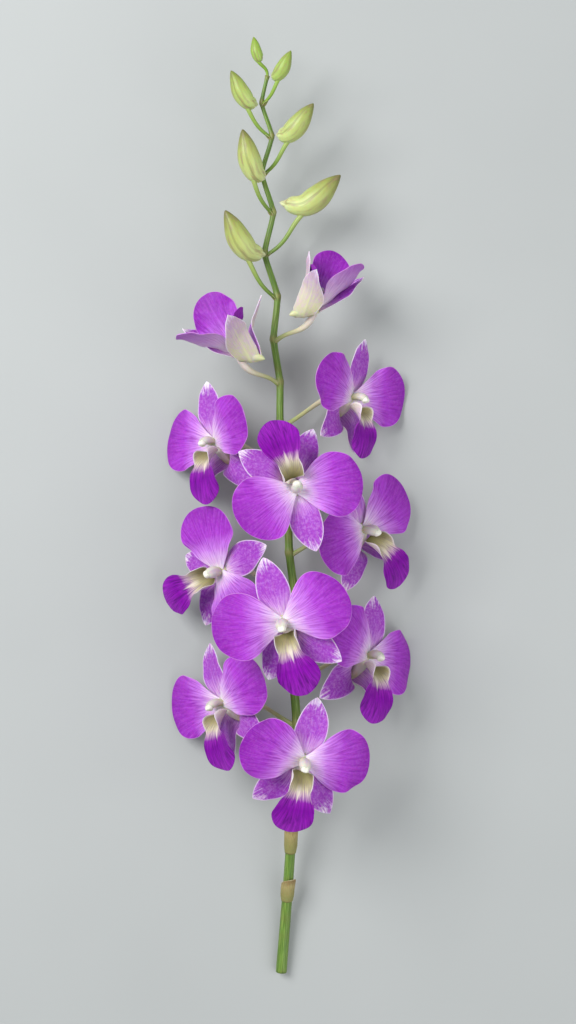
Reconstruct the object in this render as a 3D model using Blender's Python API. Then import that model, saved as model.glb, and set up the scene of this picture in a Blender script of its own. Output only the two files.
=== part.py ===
"""A cut flowering stem of a dendrobium orchid, laid down on its side flowers.

The stem runs along +Y from its cut end to its last bud, and +Z is up from the surface that it
lies on. Each flower is four solids: its sepals and petals, grown together at the chin, then the
lip, the column and the stalk. Each bud is one solid with its own stalk. The outer petals of four
side flowers and the cut end touch the surface and carry the stem.
"""

import math

import bmesh
import bpy
import numpy as np

MM = 0.001

# The stem, from the cut end to the last bud.
CUT_RADIUS = 2.8 * MM
RACHIS_RADIUS = 1.9 * MM
TIP_RADIUS = 0.9 * MM
RACHIS_HEIGHT = 19 * MM
BUD_RISE = 7.0 * MM
BARE_LENGTH = 106 * MM
FLOWER_PITCH = 21 * MM
BUD_PITCHES = np.array([21, 21, 20, 19, 18, 16, 13]) * MM
CUT_END = np.array([-3.4, -230.9, 0.0]) * MM
SWAY = 7 * MM
ZIGZAG = {"flower": 0.8 * MM, "bud": 2.6 * MM}
STRAIGHTNESS = 0.65
NODE_SWELLING = 0.35 * MM
SEAT_GAP = 0.3 * MM

# One flower. Lengths run from its centre, and angles are measured from its face.
PETAL = {"length": 32.5 * MM, "widest": 15.6 * MM, "claw": 0.15, "peak": 0.6, "point": 0.5}
SEPAL = {"length": 30 * MM, "widest": 7.8 * MM, "claw": 0.42, "peak": 0.46, "point": 0.8}
SIDE_SEPAL = {"length": 29 * MM, "widest": 7.8 * MM, "claw": 0.6, "peak": 0.4, "point": 0.8}
HEEL = np.array([3.5, -4.0, -6.2]) * MM
HEEL_SHARE = 0.4
BLADE_THICKNESS = 0.9 * MM
BLADE_ROWS = np.array([0, 0.2, 0.4, 0.6, 0.78, 0.92, 0.995])
PETAL_COLUMNS = np.linspace(-1, 1, 7)
SEPAL_COLUMNS = np.array([-1, -0.4, 0.4, 1])
CHIN_LINE = np.array([[0, 3.4, 0.2], [0, 0, -1.4], [0, -4.4, -3.6], [0, -8.2, -6.4], [0, -11, -9]])
CHIN_LINE *= MM
CHIN_RADII = np.array([1.5, 3.6, 3.8, 3.2, 1.7]) * MM
BACK = np.array([0, 1.5, -5.8]) * MM
COLUMN_LINE = np.array([[0, 0.6, 2.5], [0, 0.9, 5.2], [0, 0.5, 8], [0, -0.6, 10.2]]) * MM
COLUMN_RADII = np.array([2.1, 2.5, 2.4, 1.3]) * MM

# The lip, from its claw to its tip: stations, half widths and the radius that it is rolled to.
LIP_STATIONS = np.array([0, 0.107, 0.23, 0.365, 0.5, 0.7, 0.89, 1.0])
LIP_HALF_WIDTHS = np.array([2.6, 7.2, 9.4, 6.2, 8.2, 9.9, 7.6, 2.6]) * MM
LIP_CURLS = np.array([0.2, 0.2, 0.2, 0.17, 0.06, 0.0, -0.03, -0.03]) / MM
LIP_LENGTH = 31.5 * MM
LIP_ROOT = np.array([0, -4.8, 1.2]) * MM
LIP_RISE = (math.radians(62), math.radians(-26))
LIP_ROWS = np.array([0, 0.107, 0.23, 0.365, 0.5, 0.7, 0.88, 1.0])
LIP_COLUMNS = np.linspace(-1, 1, 7)

# Where each flower sits: its offset from its place on the stem in millimetres, how many degrees it
# faces to the right and towards the cut end, how it is rolled, how far it is open, and its size.
FLOWERS = [
    {"offset": (4, 8, 38), "lean": 6, "nod": 14, "roll": -14, "open": 1.0, "size": 1.02},
    {"offset": (-36, 10, 2), "lean": -47, "nod": 6, "roll": 22, "open": 1.0, "size": 1.02},
    {"offset": (36, 12, 4.15), "lean": 42, "nod": -4, "roll": -18, "open": 1.0, "size": 1.03},
    {"offset": (-5, 10, 40), "lean": -8, "nod": 10, "roll": 20, "open": 1.0, "size": 1.05},
    {"offset": (-36, 12, 6.13), "lean": -40, "nod": 6, "roll": -62, "open": 1.0, "size": 1.02},
    {"offset": (36, 11, 4.9), "lean": 44, "nod": 4, "roll": 34, "open": 1.0, "size": 1.02},
    {"offset": (3, 10, 38), "lean": 8, "nod": -8, "roll": -158, "open": 1.0, "size": 1.02},
    {"offset": (-35, 12, 1.85), "lean": -42, "nod": 0, "roll": 12, "open": 0.95, "size": 1.0},
    {"offset": (35, 13, -1), "lean": 50, "nod": 4, "roll": -10, "open": 0.92, "size": 0.98},
    {"offset": (-20, 13, 17), "lean": -62, "nod": -52, "roll": 120, "open": 0.38, "size": 0.98},
    {"offset": (20, 14, 14), "lean": 64, "nod": -58, "roll": -124, "open": 0.3, "size": 0.94},
]

# Each bud: which side its stalk leaves on, the angle of that side above the surface, the
# stalk's reach, the way the bud leans from the stem's line, its size and how long its chin is.
BUDS = [
    {"side": -1, "above": 36, "reach": 27, "lean": 28, "size": 1.08, "chin": 0.9},
    {"side": 1, "above": 14, "reach": 29, "lean": 44, "size": 1.1, "chin": 1.05},
    {"side": -1, "above": 50, "reach": 23, "lean": 16, "size": 1.0, "chin": 0.75},
    {"side": 1, "above": 30, "reach": 22, "lean": 38, "size": 0.92, "chin": 0.7},
    {"side": -1, "above": 26, "reach": 20, "lean": 24, "size": 0.8, "chin": 0.65},
    {"side": 1, "above": 40, "reach": 15, "lean": 30, "size": 0.64, "chin": 0.6},
    {"side": -1, "above": 30, "reach": 10, "lean": 8, "size": 0.5, "chin": 0.4},
]
BUD_STATIONS = np.array([0, 0.12, 0.26, 0.4, 0.56, 0.72, 0.86, 0.96, 1.0])
BUD_RADII = np.array([2.0, 3.3, 4.2, 5.0, 5.6, 4.8, 3.1, 1.3, 0.35]) * MM
BUD_LINE = np.array([[0, 12.2, -3.4], [0, 7.8, -0.8], [0, 3.2, 3], [0, 1.2, 9.4], [0, 0.8, 16.4], [0, 0.2, 23.4]])
BUD_LINE *= MM
BUD_STALK_RADII = (0.85 * MM, 1.25 * MM)

# The papery sheaths on the bare stem: how far up each one starts, its length, and the side that
# it is closed on.
SHEATHS = [
    {"start": 37 * MM, "length": 12 * MM, "towards": 60},
    {"start": 62 * MM, "length": 14 * MM, "towards": 110},
    {"start": 86 * MM, "length": 13 * MM, "towards": 75},
]
SHEATH_THICKNESS = 0.6 * MM
SHEATH_SLACK = 0.4 * MM
SHEATH_FLARE = 0.6 * MM
SHEATH_ROWS = np.linspace(0, 1, 5)
SHEATH_COLUMNS = np.linspace(-1, 1, 9)

COLOURS = {
    "stem": (0.16, 0.27, 0.06),
    "stalk": (0.42, 0.36, 0.26),
    "tepals": (0.36, 0.06, 0.52),
    "lip": (0.21, 0.0, 0.32),
    "column": (0.78, 0.74, 0.6),
    "bud": (0.45, 0.5, 0.16),
    "sheath": (0.45, 0.38, 0.26),
}


def clear_scene():
    for old in list(bpy.data.objects):
        bpy.data.objects.remove(old)


def plant_material(name):
    """A waxy plant surface of one colour."""
    material = bpy.data.materials.new(name)
    material.use_nodes = True
    shader = material.node_tree.nodes["Principled BSDF"]
    shader.inputs["Base Color"].default_value = (*COLOURS[name], 1)
    shader.inputs["Roughness"].default_value = 0.5
    shader.inputs["Metallic"].default_value = 0.0
    return material


def add_solid(name, points, faces, material):
    """One closed mesh object, with its faces turned outwards."""
    mesh = bpy.data.meshes.new(name)
    mesh.from_pydata([tuple(p) for p in points], [], faces)
    shape = bmesh.new()
    shape.from_mesh(mesh)
    bmesh.ops.recalc_face_normals(shape, faces=shape.faces)
    if shape.calc_volume(signed=True) < 0:
        bmesh.ops.reverse_faces(shape, faces=shape.faces)
    shape.to_mesh(mesh)
    shape.free()
    mesh.shade_smooth()
    mesh.set_sharp_from_angle(angle=math.radians(50))
    mesh.materials.append(material)
    solid = bpy.data.objects.new(name, mesh)
    bpy.context.scene.collection.objects.link(solid)
    return solid


def join(solid, others):
    """Unites the other solids with this one, by one Boolean on a collection, and removes them."""
    group = bpy.data.collections.new(solid.name + "_pieces")
    bpy.context.scene.collection.children.link(group)
    for other in others:
        group.objects.link(other)
    modifier = solid.modifiers.new("Grown together", "BOOLEAN")
    modifier.operation = "UNION"
    modifier.solver = "MANIFOLD"
    modifier.operand_type = "COLLECTION"
    modifier.collection = group
    bpy.context.view_layer.update()
    graph = bpy.context.evaluated_depsgraph_get()
    joined = bpy.data.meshes.new_from_object(solid.evaluated_get(graph))
    solid.modifiers.remove(modifier)
    solid.data = joined
    for other in others:
        bpy.data.objects.remove(other)
    bpy.data.collections.remove(group)
    return solid


def through(stations, values, u):
    """A smooth curve through the values at these stations, read at u: cubic pieces whose slope
    at each station is that of the line between its neighbours."""
    stations, values, u = np.asarray(stations, float), np.asarray(values, float), np.asarray(u, float)
    slopes = np.gradient(values, stations, axis=0)
    piece = np.clip(np.searchsorted(stations, u, side="right") - 1, 0, len(stations) - 2)
    width = stations[piece + 1] - stations[piece]
    t = (u - stations[piece]) / width
    if values.ndim > 1:
        t, width = t[..., None], width[..., None]
    start, end = values[piece], values[piece + 1]
    leave, arrive = slopes[piece] * width, slopes[piece + 1] * width
    return (
        start * (2 * t**3 - 3 * t**2 + 1)
        + leave * (t**3 - 2 * t**2 + t)
        + end * (3 * t**2 - 2 * t**3)
        + arrive * (t**3 - t**2)
    )


def unit(vectors):
    return vectors / np.linalg.norm(vectors, axis=-1, keepdims=True)


def cross_frames(path):
    """Two directions across a path at each of its points, carried along it without twisting."""
    tangents = unit(np.gradient(path, axis=0))
    across = np.cross(tangents[0], [0, 0, 1.0])
    if np.linalg.norm(across) < 0.2:
        across = np.array([1.0, 0, 0])
    firsts = []
    for tangent in tangents:
        across = across - tangent * (across @ tangent)
        across = across / np.linalg.norm(across)
        firsts.append(across)
    firsts = np.array(firsts)
    return firsts, np.cross(tangents, firsts)


def tube(path, radii, sides):
    """A round solid swept along a path: a ring at each point, and a flat cap at each end."""
    across, upward = cross_frames(path)
    angles = np.arange(sides) * 2 * math.pi / sides
    rings = (
        path[:, None]
        + radii[:, None, None] * np.cos(angles)[None, :, None] * across[:, None]
        + radii[:, None, None] * np.sin(angles)[None, :, None] * upward[:, None]
    )
    points = rings.reshape(-1, 3)
    faces = []
    for ring in range(len(path) - 1):
        for side in range(sides):
            a = ring * sides + side
            b = ring * sides + (side + 1) % sides
            faces.append((a, b, b + sides, a + sides))
    faces.append(tuple(reversed(range(sides))))
    last = (len(path) - 1) * sides
    faces.append(tuple(range(last, last + sides)))
    return points, faces


def blade(surface, rows, columns, thickness):
    """A closed blade round a surface of u along it and v across it. Both faces are split into
    the same triangles, half the thickness to each side, and a rim joins them."""
    u, v = np.meshgrid(rows, columns, indexing="ij")
    middle = surface(u, v)
    step = 1e-3
    along = surface(u + step, v) - surface(u - step, v)
    across = surface(u, v + step) - surface(u, v - step)
    normal = unit(np.cross(along, across))
    count = u.size
    points = np.concatenate(
        [(middle + normal * thickness / 2).reshape(-1, 3), (middle - normal * thickness / 2).reshape(-1, 3)]
    )
    last_row, last_column = len(rows) - 1, len(columns) - 1
    place = np.arange(count).reshape(u.shape)
    faces = []
    for i in range(last_row):
        for j in range(last_column):
            a, b, c, d = place[i, j], place[i + 1, j], place[i + 1, j + 1], place[i, j + 1]
            halves = [(a, b, c), (a, c, d)] if 2 * j < last_column else [(a, b, d), (b, c, d)]
            for half in halves:
                faces.append(tuple(int(k) for k in half))
                faces.append(tuple(int(k) + count for k in reversed(half)))
    rim = (
        [place[i, 0] for i in range(last_row)]
        + [place[last_row, j] for j in range(last_column)]
        + [place[i, last_column] for i in range(last_row, 0, -1)]
        + [place[0, j] for j in range(last_column, 0, -1)]
    )
    for a, b in zip(rim, rim[1:] + rim[:1]):
        faces.append((int(a), int(a) + count, int(b) + count))
        faces.append((int(a), int(b) + count, int(b)))
    return points, faces


def half_width(u, outline):
    """Half the width of a sepal or petal: it opens from its claw along part of a sine, and closes
    past its widest place along an ellipse that a power makes rounder or more pointed."""
    peak, claw = outline["peak"], outline["claw"]
    u = np.clip(u, 0, 1)
    opening = claw + (1 - claw) * np.sin(0.5 * math.pi * np.minimum(u / peak, 1)) ** 1.3
    past = np.clip((u - peak) / (1 - peak), 0, 1)
    return outline["widest"] * opening * (1 - past**2) ** outline["point"]


def arc_along(u, length, start, end):
    """How far a line of this length has gone out and up at u, if its slope turns steadily from
    one angle to another."""
    turn = end - start
    slope = start + turn * u
    return (
        length * (np.sin(slope) - math.sin(start)) / turn,
        length * (math.cos(start) - np.cos(slope)) / turn,
        slope,
    )


def bent_across(s, curl):
    """How far a strip has gone sideways and up, s from its middle, if it is rolled to this curl,
    which is one over the radius."""
    sideways = s * np.sinc(curl * s / math.pi)
    upward = 0.5 * curl * s**2 * np.sinc(curl * s / (2 * math.pi)) ** 2
    return sideways, upward


def tepal_surface(outline, direction, root, shift, start, end, curl, twist, heel=0):
    """A sepal or petal, in its flower's own frame: direction is its angle round the face, shift
    how far out it starts from its root, start and end its slope out of the face, curl its
    cupping and twist its turn from root to tip. Heel is the side, -1 or 1, whose margin is drawn
    down along the chin near the root."""
    out = np.array([math.cos(direction), math.sin(direction), 0])
    left = np.array([-math.sin(direction), math.cos(direction), 0])
    face = np.array([0, 0, 1.0])

    def surface(u, v):
        ahead, up, slope = arc_along(u, outline["length"], start, end)
        sideways, lift = bent_across(v * half_width(u, outline), curl)
        turn = twist * u
        across = sideways * np.cos(turn) - lift * np.sin(turn)
        above = sideways * np.sin(turn) + lift * np.cos(turn)
        drawn = np.clip(heel * v, 0, 1) ** 1.5 * np.clip(1 - u / HEEL_SHARE, 0, 1) ** 1.5
        return (
            root
            + (shift + ahead - above * np.sin(slope))[..., None] * out
            + across[..., None] * left
            + (up + above * np.cos(slope))[..., None] * face
            + drawn[..., None] * HEEL * np.array([-heel, 1, 1])
        )

    return surface


def lip_surface(size, start, end):
    """The lip, in its flower's own frame: side lobes rolled up round the column, then a broad
    middle lobe that turns down."""

    def surface(u, v):
        near = np.clip(u, 0, 1)
        ahead, up, slope = arc_along(u, LIP_LENGTH * size, start, end)
        reach = v * through(LIP_STATIONS, LIP_HALF_WIDTHS, near) * size
        sideways, lift = bent_across(reach, through(LIP_STATIONS, LIP_CURLS, near) / size)
        down, face = np.array([0, -1.0, 0]), np.array([0, 0, 1.0])
        return (
            LIP_ROOT
            + (ahead - lift * np.sin(slope))[..., None] * down
            + sideways[..., None] * np.array([1.0, 0, 0])
            + (up + lift * np.cos(slope))[..., None] * face
        )

    return surface


def uneven(flower, tepal):
    """A small steady unevenness from -1 to 1, different for each part of each flower."""
    return math.sin(12.9898 * (flower + 1) + 78.233 * (tepal + 1))


def tepals(flower, opening):
    """The five surfaces of one flower: petals first, then the top sepal and the side sepals."""
    shut = 1 - opening
    petal = {**PETAL, "widest": PETAL["widest"] * (1 - 0.4 * shut)}
    surfaces = []
    for index, mirrored in enumerate((False, True)):
        angle = math.radians(12 + 6 * uneven(flower, index) + 20 * shut)
        surfaces.append(
            (
                tepal_surface(
                    petal,
                    math.pi - angle if mirrored else angle,
                    np.array([0, 0.2, 0.9]) * MM,
                    2.4 * MM * shut,
                    math.radians(20 + 6 * uneven(flower, index + 5) + 64 * shut),
                    math.radians(-16 + 12 * uneven(flower, index + 7) + 118 * shut),
                    (-5 + 6 * uneven(flower, index + 9) + 55 * shut) / (1000 * MM) + 1e-6,
                    math.radians(8 * uneven(flower, index + 11) * opening),
                ),
                PETAL_COLUMNS,
            )
        )
    surfaces.append(
        (
            tepal_surface(
                SEPAL,
                math.radians(90 + 4 * uneven(flower, 2)),
                np.array([0, 0.8, -0.6]) * MM,
                2.0 * MM * shut,
                math.radians(10 + 5 * uneven(flower, 13) + 70 * shut),
                math.radians(-18 + 10 * uneven(flower, 14) + 108 * shut),
                (10 + 12 * uneven(flower, 15) + 40 * shut) / (1000 * MM) + 1e-6,
                math.radians(6 * uneven(flower, 16)),
            ),
            SEPAL_COLUMNS,
        )
    )
    for index, mirrored in enumerate((False, True)):
        angle = math.radians(-50 - 5 * uneven(flower, index + 3))
        surfaces.append(
            (
                tepal_surface(
                    SIDE_SEPAL,
                    math.pi - angle if mirrored else angle,
                    np.array([0, -2.6, -2.2]) * MM,
                    2.0 * MM * shut,
                    math.radians(2 + 5 * uneven(flower, index + 17) + 75 * shut),
                    math.radians(-12 + 10 * uneven(flower, index + 19) + 100 * shut),
                    (16 + 12 * uneven(flower, index + 21) + 30 * shut) / (1000 * MM) + 1e-6,
                    math.radians((12 if mirrored else -12) * opening),
                    1 if mirrored else -1,
                ),
                SEPAL_COLUMNS,
            )
        )
    return surfaces


def turned(x_degrees, y_degrees, z_degrees):
    """The matrix that rolls about the face, then nods about X, then leans about Y."""
    x, y, z = (math.radians(a) for a in (x_degrees, y_degrees, z_degrees))
    roll = np.array([[math.cos(z), -math.sin(z), 0], [math.sin(z), math.cos(z), 0], [0, 0, 1]])
    nod = np.array([[1, 0, 0], [0, math.cos(x), -math.sin(x)], [0, math.sin(x), math.cos(x)]])
    lean = np.array([[math.cos(y), 0, math.sin(y)], [0, 1, 0], [-math.sin(y), 0, math.cos(y)]])
    return lean @ nod @ roll


def stem_nodes():
    """The distance from the cut end of each place where a stalk grows: flowers, then buds."""
    flowers = BARE_LENGTH + FLOWER_PITCH * np.arange(len(FLOWERS))
    return np.concatenate([flowers, flowers[-1] + np.cumsum(BUD_PITCHES)])


def stem_sides():
    """The side that each stalk leaves on: -1 is left, 1 is right and 0 is up."""
    sides = [0 if abs(f["offset"][0]) < 10 else math.copysign(1, f["offset"][0]) for f in FLOWERS]
    return sides + [bud["side"] for bud in BUDS]


def stem_line():
    """The stem's centre line as distances from the cut end and points: a rise from the surface,
    a slow sway, and a zigzag that bends away from each stalk."""
    nodes, sides = stem_nodes(), stem_sides()
    bare = np.linspace(0, BARE_LENGTH, 5)[:-1]
    distances = np.concatenate([bare, nodes])
    length = distances[-1]
    rise = np.clip(distances / BARE_LENGTH, 0, 1)
    height = CUT_RADIUS + (RACHIS_HEIGHT - CUT_RADIUS) * rise**2 * (3 - 2 * rise)
    lift = np.clip((distances - nodes[len(FLOWERS) - 1]) / (length - nodes[len(FLOWERS) - 1]), 0, 1)
    sway = SWAY * np.sin(1.6 * math.pi * distances / length)
    zigzag = np.zeros(len(distances))
    for index, side in enumerate(sides):
        kind = "flower" if index < len(FLOWERS) else "bud"
        zigzag[len(bare) + index] = -side * ZIGZAG[kind]
    zigzag[-1] = 0
    points = np.stack([sway + zigzag, distances, height + BUD_RISE * lift], axis=1)
    return distances, points + CUT_END


def stem_path(distance):
    """The stem's centre line at these distances: smooth on the bare stem, and close to straight
    runs from node to node further up."""
    distances, points = stem_line()
    smooth = through(distances, points, distance)
    straight = np.stack([np.interp(distance, distances, line) for line in points.T], axis=-1)
    share = STRAIGHTNESS * np.clip((distance - BARE_LENGTH) / FLOWER_PITCH, 0, 1)
    return smooth + np.asarray(share)[..., None] * (straight - smooth)


def stem_radius(distance):
    """The stem's radius: even up to the first flower, then thinner towards the last bud."""
    nodes = stem_nodes()
    places = [0, nodes[0], nodes[len(FLOWERS) - 1], nodes[-1]]
    return np.interp(distance, places, [CUT_RADIUS, RACHIS_RADIUS * 1.2, RACHIS_RADIUS * 0.9, TIP_RADIUS])


def make_stem(material):
    """The whole stem: a tube of eight sides that swells a little where each stalk grows."""
    distances = stem_line()[0]
    nodes = stem_nodes()
    between = (distances[:-1] + distances[1:]) / 2
    stations = np.sort(np.concatenate([distances, between]))
    path = stem_path(stations)
    swelling = NODE_SWELLING * np.isin(stations, nodes)
    radii = stem_radius(stations) + swelling
    return add_solid("stem", *tube(path, radii, 8), material)


def sheath_surface(facts):
    """A scale wrapped round the bare stem, open on its far side, narrower and looser towards its
    tip."""
    towards = math.radians(facts["towards"])

    def surface(u, v):
        distance = facts["start"] + facts["length"] * u
        middle = stem_path(distance)
        along = unit(stem_path(distance + 1e-4) - middle)
        across = unit(np.cross(along, [0, 0, 1.0]))
        upward = np.cross(across, along)
        angle = towards + v * math.radians(150) * (1 - np.clip(u, 0, 1) ** 2) ** 0.5 + 0.12 * v
        clear = SEAT_GAP + SHEATH_SLACK + SHEATH_THICKNESS / 2
        radius = stem_radius(distance) + clear + SHEATH_FLARE * u**2
        return (
            middle
            + (radius * np.cos(angle))[..., None] * across
            + (radius * np.sin(angle))[..., None] * upward
        )

    return surface


def make_sheath(index, facts, material):
    points, faces = blade(sheath_surface(facts), SHEATH_ROWS, SHEATH_COLUMNS, SHEATH_THICKNESS)
    add_solid(f"sheath_{index + 1}", points, faces, material)


def stalk_line(start, leave, end, arrive, grip, count):
    """A stalk's centre line: one cubic curve that leaves and arrives along these directions."""
    t = np.linspace(0, 1, count)[:, None]
    second, third = start + grip * leave, end - grip * arrive
    return (
        (1 - t) ** 3 * start
        + 3 * (1 - t) ** 2 * t * second
        + 3 * (1 - t) * t**2 * third
        + t**3 * end
    )


def seat(node_point, direction, distance, radius):
    """Where a stalk of this radius sits just off the stem on this side, and the way that it
    leaves, sloping towards the stem's tip."""
    flat = unit(np.array([direction[0], 0, direction[2]]))
    leave = unit(flat + np.array([0, 0.55, 0]))
    reach = stem_radius(distance) + NODE_SWELLING + SEAT_GAP + radius * leave[1]
    return node_point + flat * reach, leave


def make_flower(index, facts, node_point, distance, materials):
    """One flower: its sepals and petals joined at the chin, its lip, its column and its stalk."""
    name = f"flower_{index + 1:02d}"
    matrix = turned(facts["nod"], facts["lean"], facts["roll"])
    centre = node_point + np.array(facts["offset"]) * MM
    size = facts["size"]

    def placed(points):
        return centre + size * points @ matrix.T

    chin, chin_faces = tube(CHIN_LINE, CHIN_RADII, 8)
    body = add_solid(name + "_tepals", placed(chin), chin_faces, materials["tepals"])
    blades = []
    for number, (surface, columns) in enumerate(tepals(index, facts["open"])):
        points, faces = blade(surface, BLADE_ROWS, columns, BLADE_THICKNESS)
        blades.append(add_solid(f"{name}_blade_{number}", placed(points), faces, materials["tepals"]))
    join(body, blades)

    shut = 1 - facts["open"]
    lip = lip_surface(1 - 0.5 * shut, LIP_RISE[0] + 0.55 * shut, LIP_RISE[1] + 1.9 * shut)
    points, faces = blade(lip, LIP_ROWS, LIP_COLUMNS, BLADE_THICKNESS)
    add_solid(name + "_lip", placed(points), faces, materials["lip"])

    points, faces = tube(COLUMN_LINE, COLUMN_RADII * (1 - 0.4 * shut), 6)
    add_solid(name + "_column", placed(points), faces, materials["column"])

    back = placed(BACK[None])[0]
    arrive = matrix @ np.array([0, 0, 1.0])
    foot, leave = seat(node_point, back - node_point, distance, 1.1 * MM)
    path = stalk_line(foot, leave, back, arrive, 0.4 * np.linalg.norm(back - foot), 6)
    radii = np.linspace(1.1, 1.7, len(path)) * MM
    add_solid(name + "_stalk", *tube(path, radii, 6), materials["stalk"])


def make_bud(index, facts, node_point, distance, materials):
    """One bud, a bent teardrop whose chin points back at the stem, joined with its stalk."""
    side, above = facts["side"], math.radians(facts["above"])
    outward = np.array([side * math.cos(above), 0, math.sin(above)])
    lean = math.radians(facts["lean"])
    axis = math.cos(lean) * np.array([0, 1.0, 0]) + math.sin(lean) * outward
    to_stem = math.sin(lean) * np.array([0, 1.0, 0]) - math.cos(lean) * outward
    crosswise = np.cross(to_stem, axis)
    frame = np.stack([crosswise, to_stem, axis], axis=1)
    reach = facts["reach"] * MM
    foot, leave = seat(node_point, outward, distance, BUD_STALK_RADII[0])
    if facts is BUDS[-1]:
        leave = np.array([0, 1.0, 0])
        foot = node_point + leave * SEAT_GAP
    base = foot + reach * (0.62 * outward + 0.62 * np.array([0, 1.0, 0]))
    size = facts["size"]
    line = BUD_LINE.copy()
    line[:2] = line[2] + facts["chin"] * (line[:2] - line[2])
    line = through(np.linspace(0, 1, len(line)), line, BUD_STATIONS)
    path = base + size * line @ frame.T
    body = add_solid(f"bud_{index + 1:02d}", *tube(path, BUD_RADII * size, 8), materials["bud"])
    inside = base + size * (frame @ np.array([0, 0.6, 3.6])) * MM
    stalk = stalk_line(foot, leave, inside, unit(axis - 0.2 * to_stem), 0.45 * reach, 7)
    radii = np.linspace(*BUD_STALK_RADII, len(stalk)) * (0.6 + 0.4 * size)
    join(body, [add_solid("bud_stalk", *tube(stalk, radii, 6), materials["bud"])])


def build():
    clear_scene()
    materials = {name: plant_material(name) for name in COLOURS}
    make_stem(materials["stem"])
    for index, facts in enumerate(SHEATHS):
        make_sheath(index, facts, materials["sheath"])
    points = stem_line()[1]
    nodes = stem_nodes()
    places = points[-len(nodes) :]
    for index, facts in enumerate(FLOWERS):
        make_flower(index, facts, places[index], nodes[index], materials)
    for index, facts in enumerate(BUDS):
        number = len(FLOWERS) + index
        make_bud(index, facts, places[number], nodes[number], materials)


build()
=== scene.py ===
# %% [markdown]
# # A dendrobium orchid stem
#
# A cut stem of a dendrobium orchid lies on a pale surface, seen from above. The solids under it
# are plain: here each one gets its fine surface and its colours. Every shape is a formula, so
# this file is also a short course in how petals, buds and stems can be drawn by numbers.

import math
from functools import partial

import bpy
import numpy as np
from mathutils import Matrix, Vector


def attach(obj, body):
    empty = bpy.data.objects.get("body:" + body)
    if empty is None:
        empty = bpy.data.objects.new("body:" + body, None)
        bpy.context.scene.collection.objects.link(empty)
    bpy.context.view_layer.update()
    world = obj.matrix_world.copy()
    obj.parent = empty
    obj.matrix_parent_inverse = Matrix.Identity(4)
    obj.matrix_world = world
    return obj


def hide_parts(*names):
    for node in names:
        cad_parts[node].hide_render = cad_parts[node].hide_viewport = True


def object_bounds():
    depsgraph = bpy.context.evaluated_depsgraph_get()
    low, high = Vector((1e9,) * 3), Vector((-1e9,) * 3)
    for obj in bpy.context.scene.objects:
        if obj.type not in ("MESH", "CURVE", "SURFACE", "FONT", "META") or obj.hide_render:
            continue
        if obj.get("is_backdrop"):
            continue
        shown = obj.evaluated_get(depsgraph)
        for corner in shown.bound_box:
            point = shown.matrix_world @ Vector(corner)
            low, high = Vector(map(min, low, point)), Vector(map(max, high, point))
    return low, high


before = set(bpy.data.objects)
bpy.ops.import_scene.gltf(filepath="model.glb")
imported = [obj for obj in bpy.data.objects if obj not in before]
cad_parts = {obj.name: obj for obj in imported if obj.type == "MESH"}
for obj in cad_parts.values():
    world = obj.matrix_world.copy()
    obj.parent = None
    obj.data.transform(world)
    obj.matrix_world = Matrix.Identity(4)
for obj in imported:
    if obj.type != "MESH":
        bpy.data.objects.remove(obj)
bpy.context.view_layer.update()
MM = 0.001

# %% [markdown]
# ## Colours and nodes
#
# Colours are written as the hex values that a screen shows. Blender's shaders mix light, so they
# want linear values: one function turns each hex value into one. Shaders could be joined up by
# hand in the node editor. A small function that adds a node, sets it and joins its inputs keeps
# each material short, and it can be read from top to bottom.

# %% Screen colours as light


def linear(hex_value):
    """Each channel c of the screen colour becomes ((c + 0.055) / 1.055) to the power 2.4, or
    c / 12.92 where it is very dark."""
    channels = [int(hex_value[i : i + 2], 16) / 255 for i in (1, 3, 5)]
    light = [c / 12.92 if c <= 0.04045 else ((c + 0.055) / 1.055) ** 2.4 for c in channels]
    return (*light, 1.0)


print("violet as light:", tuple(round(c, 3) for c in linear("#9A28B8")))

# %% Helpers for materials
MIX = {"output": 2, "data_type": "RGBA"}  # makes a Mix node mix colours, on its inputs 6 and 7


def feed(node, inputs):
    """Sets each input, by its name or number, to a value, or joins it to another node's output."""
    for key, value in inputs.items():
        if isinstance(value, bpy.types.NodeSocket):
            node.id_data.links.new(value, node.inputs[key])
        else:
            node.inputs[key].default_value = value


def add_node(material, kind, inputs=None, output=0, stops=(), **settings):
    """Adds a node of this kind with its settings, feeds it, and returns its output of this
    number. Stops are the places and hex colours of a colour ramp."""
    made = material.node_tree.nodes.new("ShaderNode" + kind)
    for name, value in settings.items():
        setattr(made, name, value)
    feed(made, inputs or {})
    for number, (place, colour) in enumerate(stops):
        ramp = made.color_ramp.elements
        stop = ramp[number] if number < 2 else ramp.new(place)
        stop.position, stop.color = place, linear(colour)
    return made.outputs[output]


def new_material(name, **values):
    """A Principled material and its shader, whose own sockets get these values. Their names are
    written in lower case, with underscores."""
    material = bpy.data.materials.new(name)
    material.use_nodes = True
    shader = material.node_tree.nodes["Principled BSDF"]
    for key, value in values.items():
        feed(shader, {key.replace("_", " ").title().replace("Ior", "IOR"): value})
    return material, shader


print("a Mix node gives its mixed colour by output number", MIX["output"])

# %% [markdown]
# ## Shapes from formulas
#
# A petal is a strip that curves along its length and across its width. It could be modelled by
# hand, by pulling points, but then each of the eleven flowers would need the work again. Two
# facts about circles do all the bending instead: a line whose slope turns steadily is an arc, and
# so is a strip that is rolled evenly. The same two functions shape petals, sepals and the lip.

# %% Smooth curves


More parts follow.
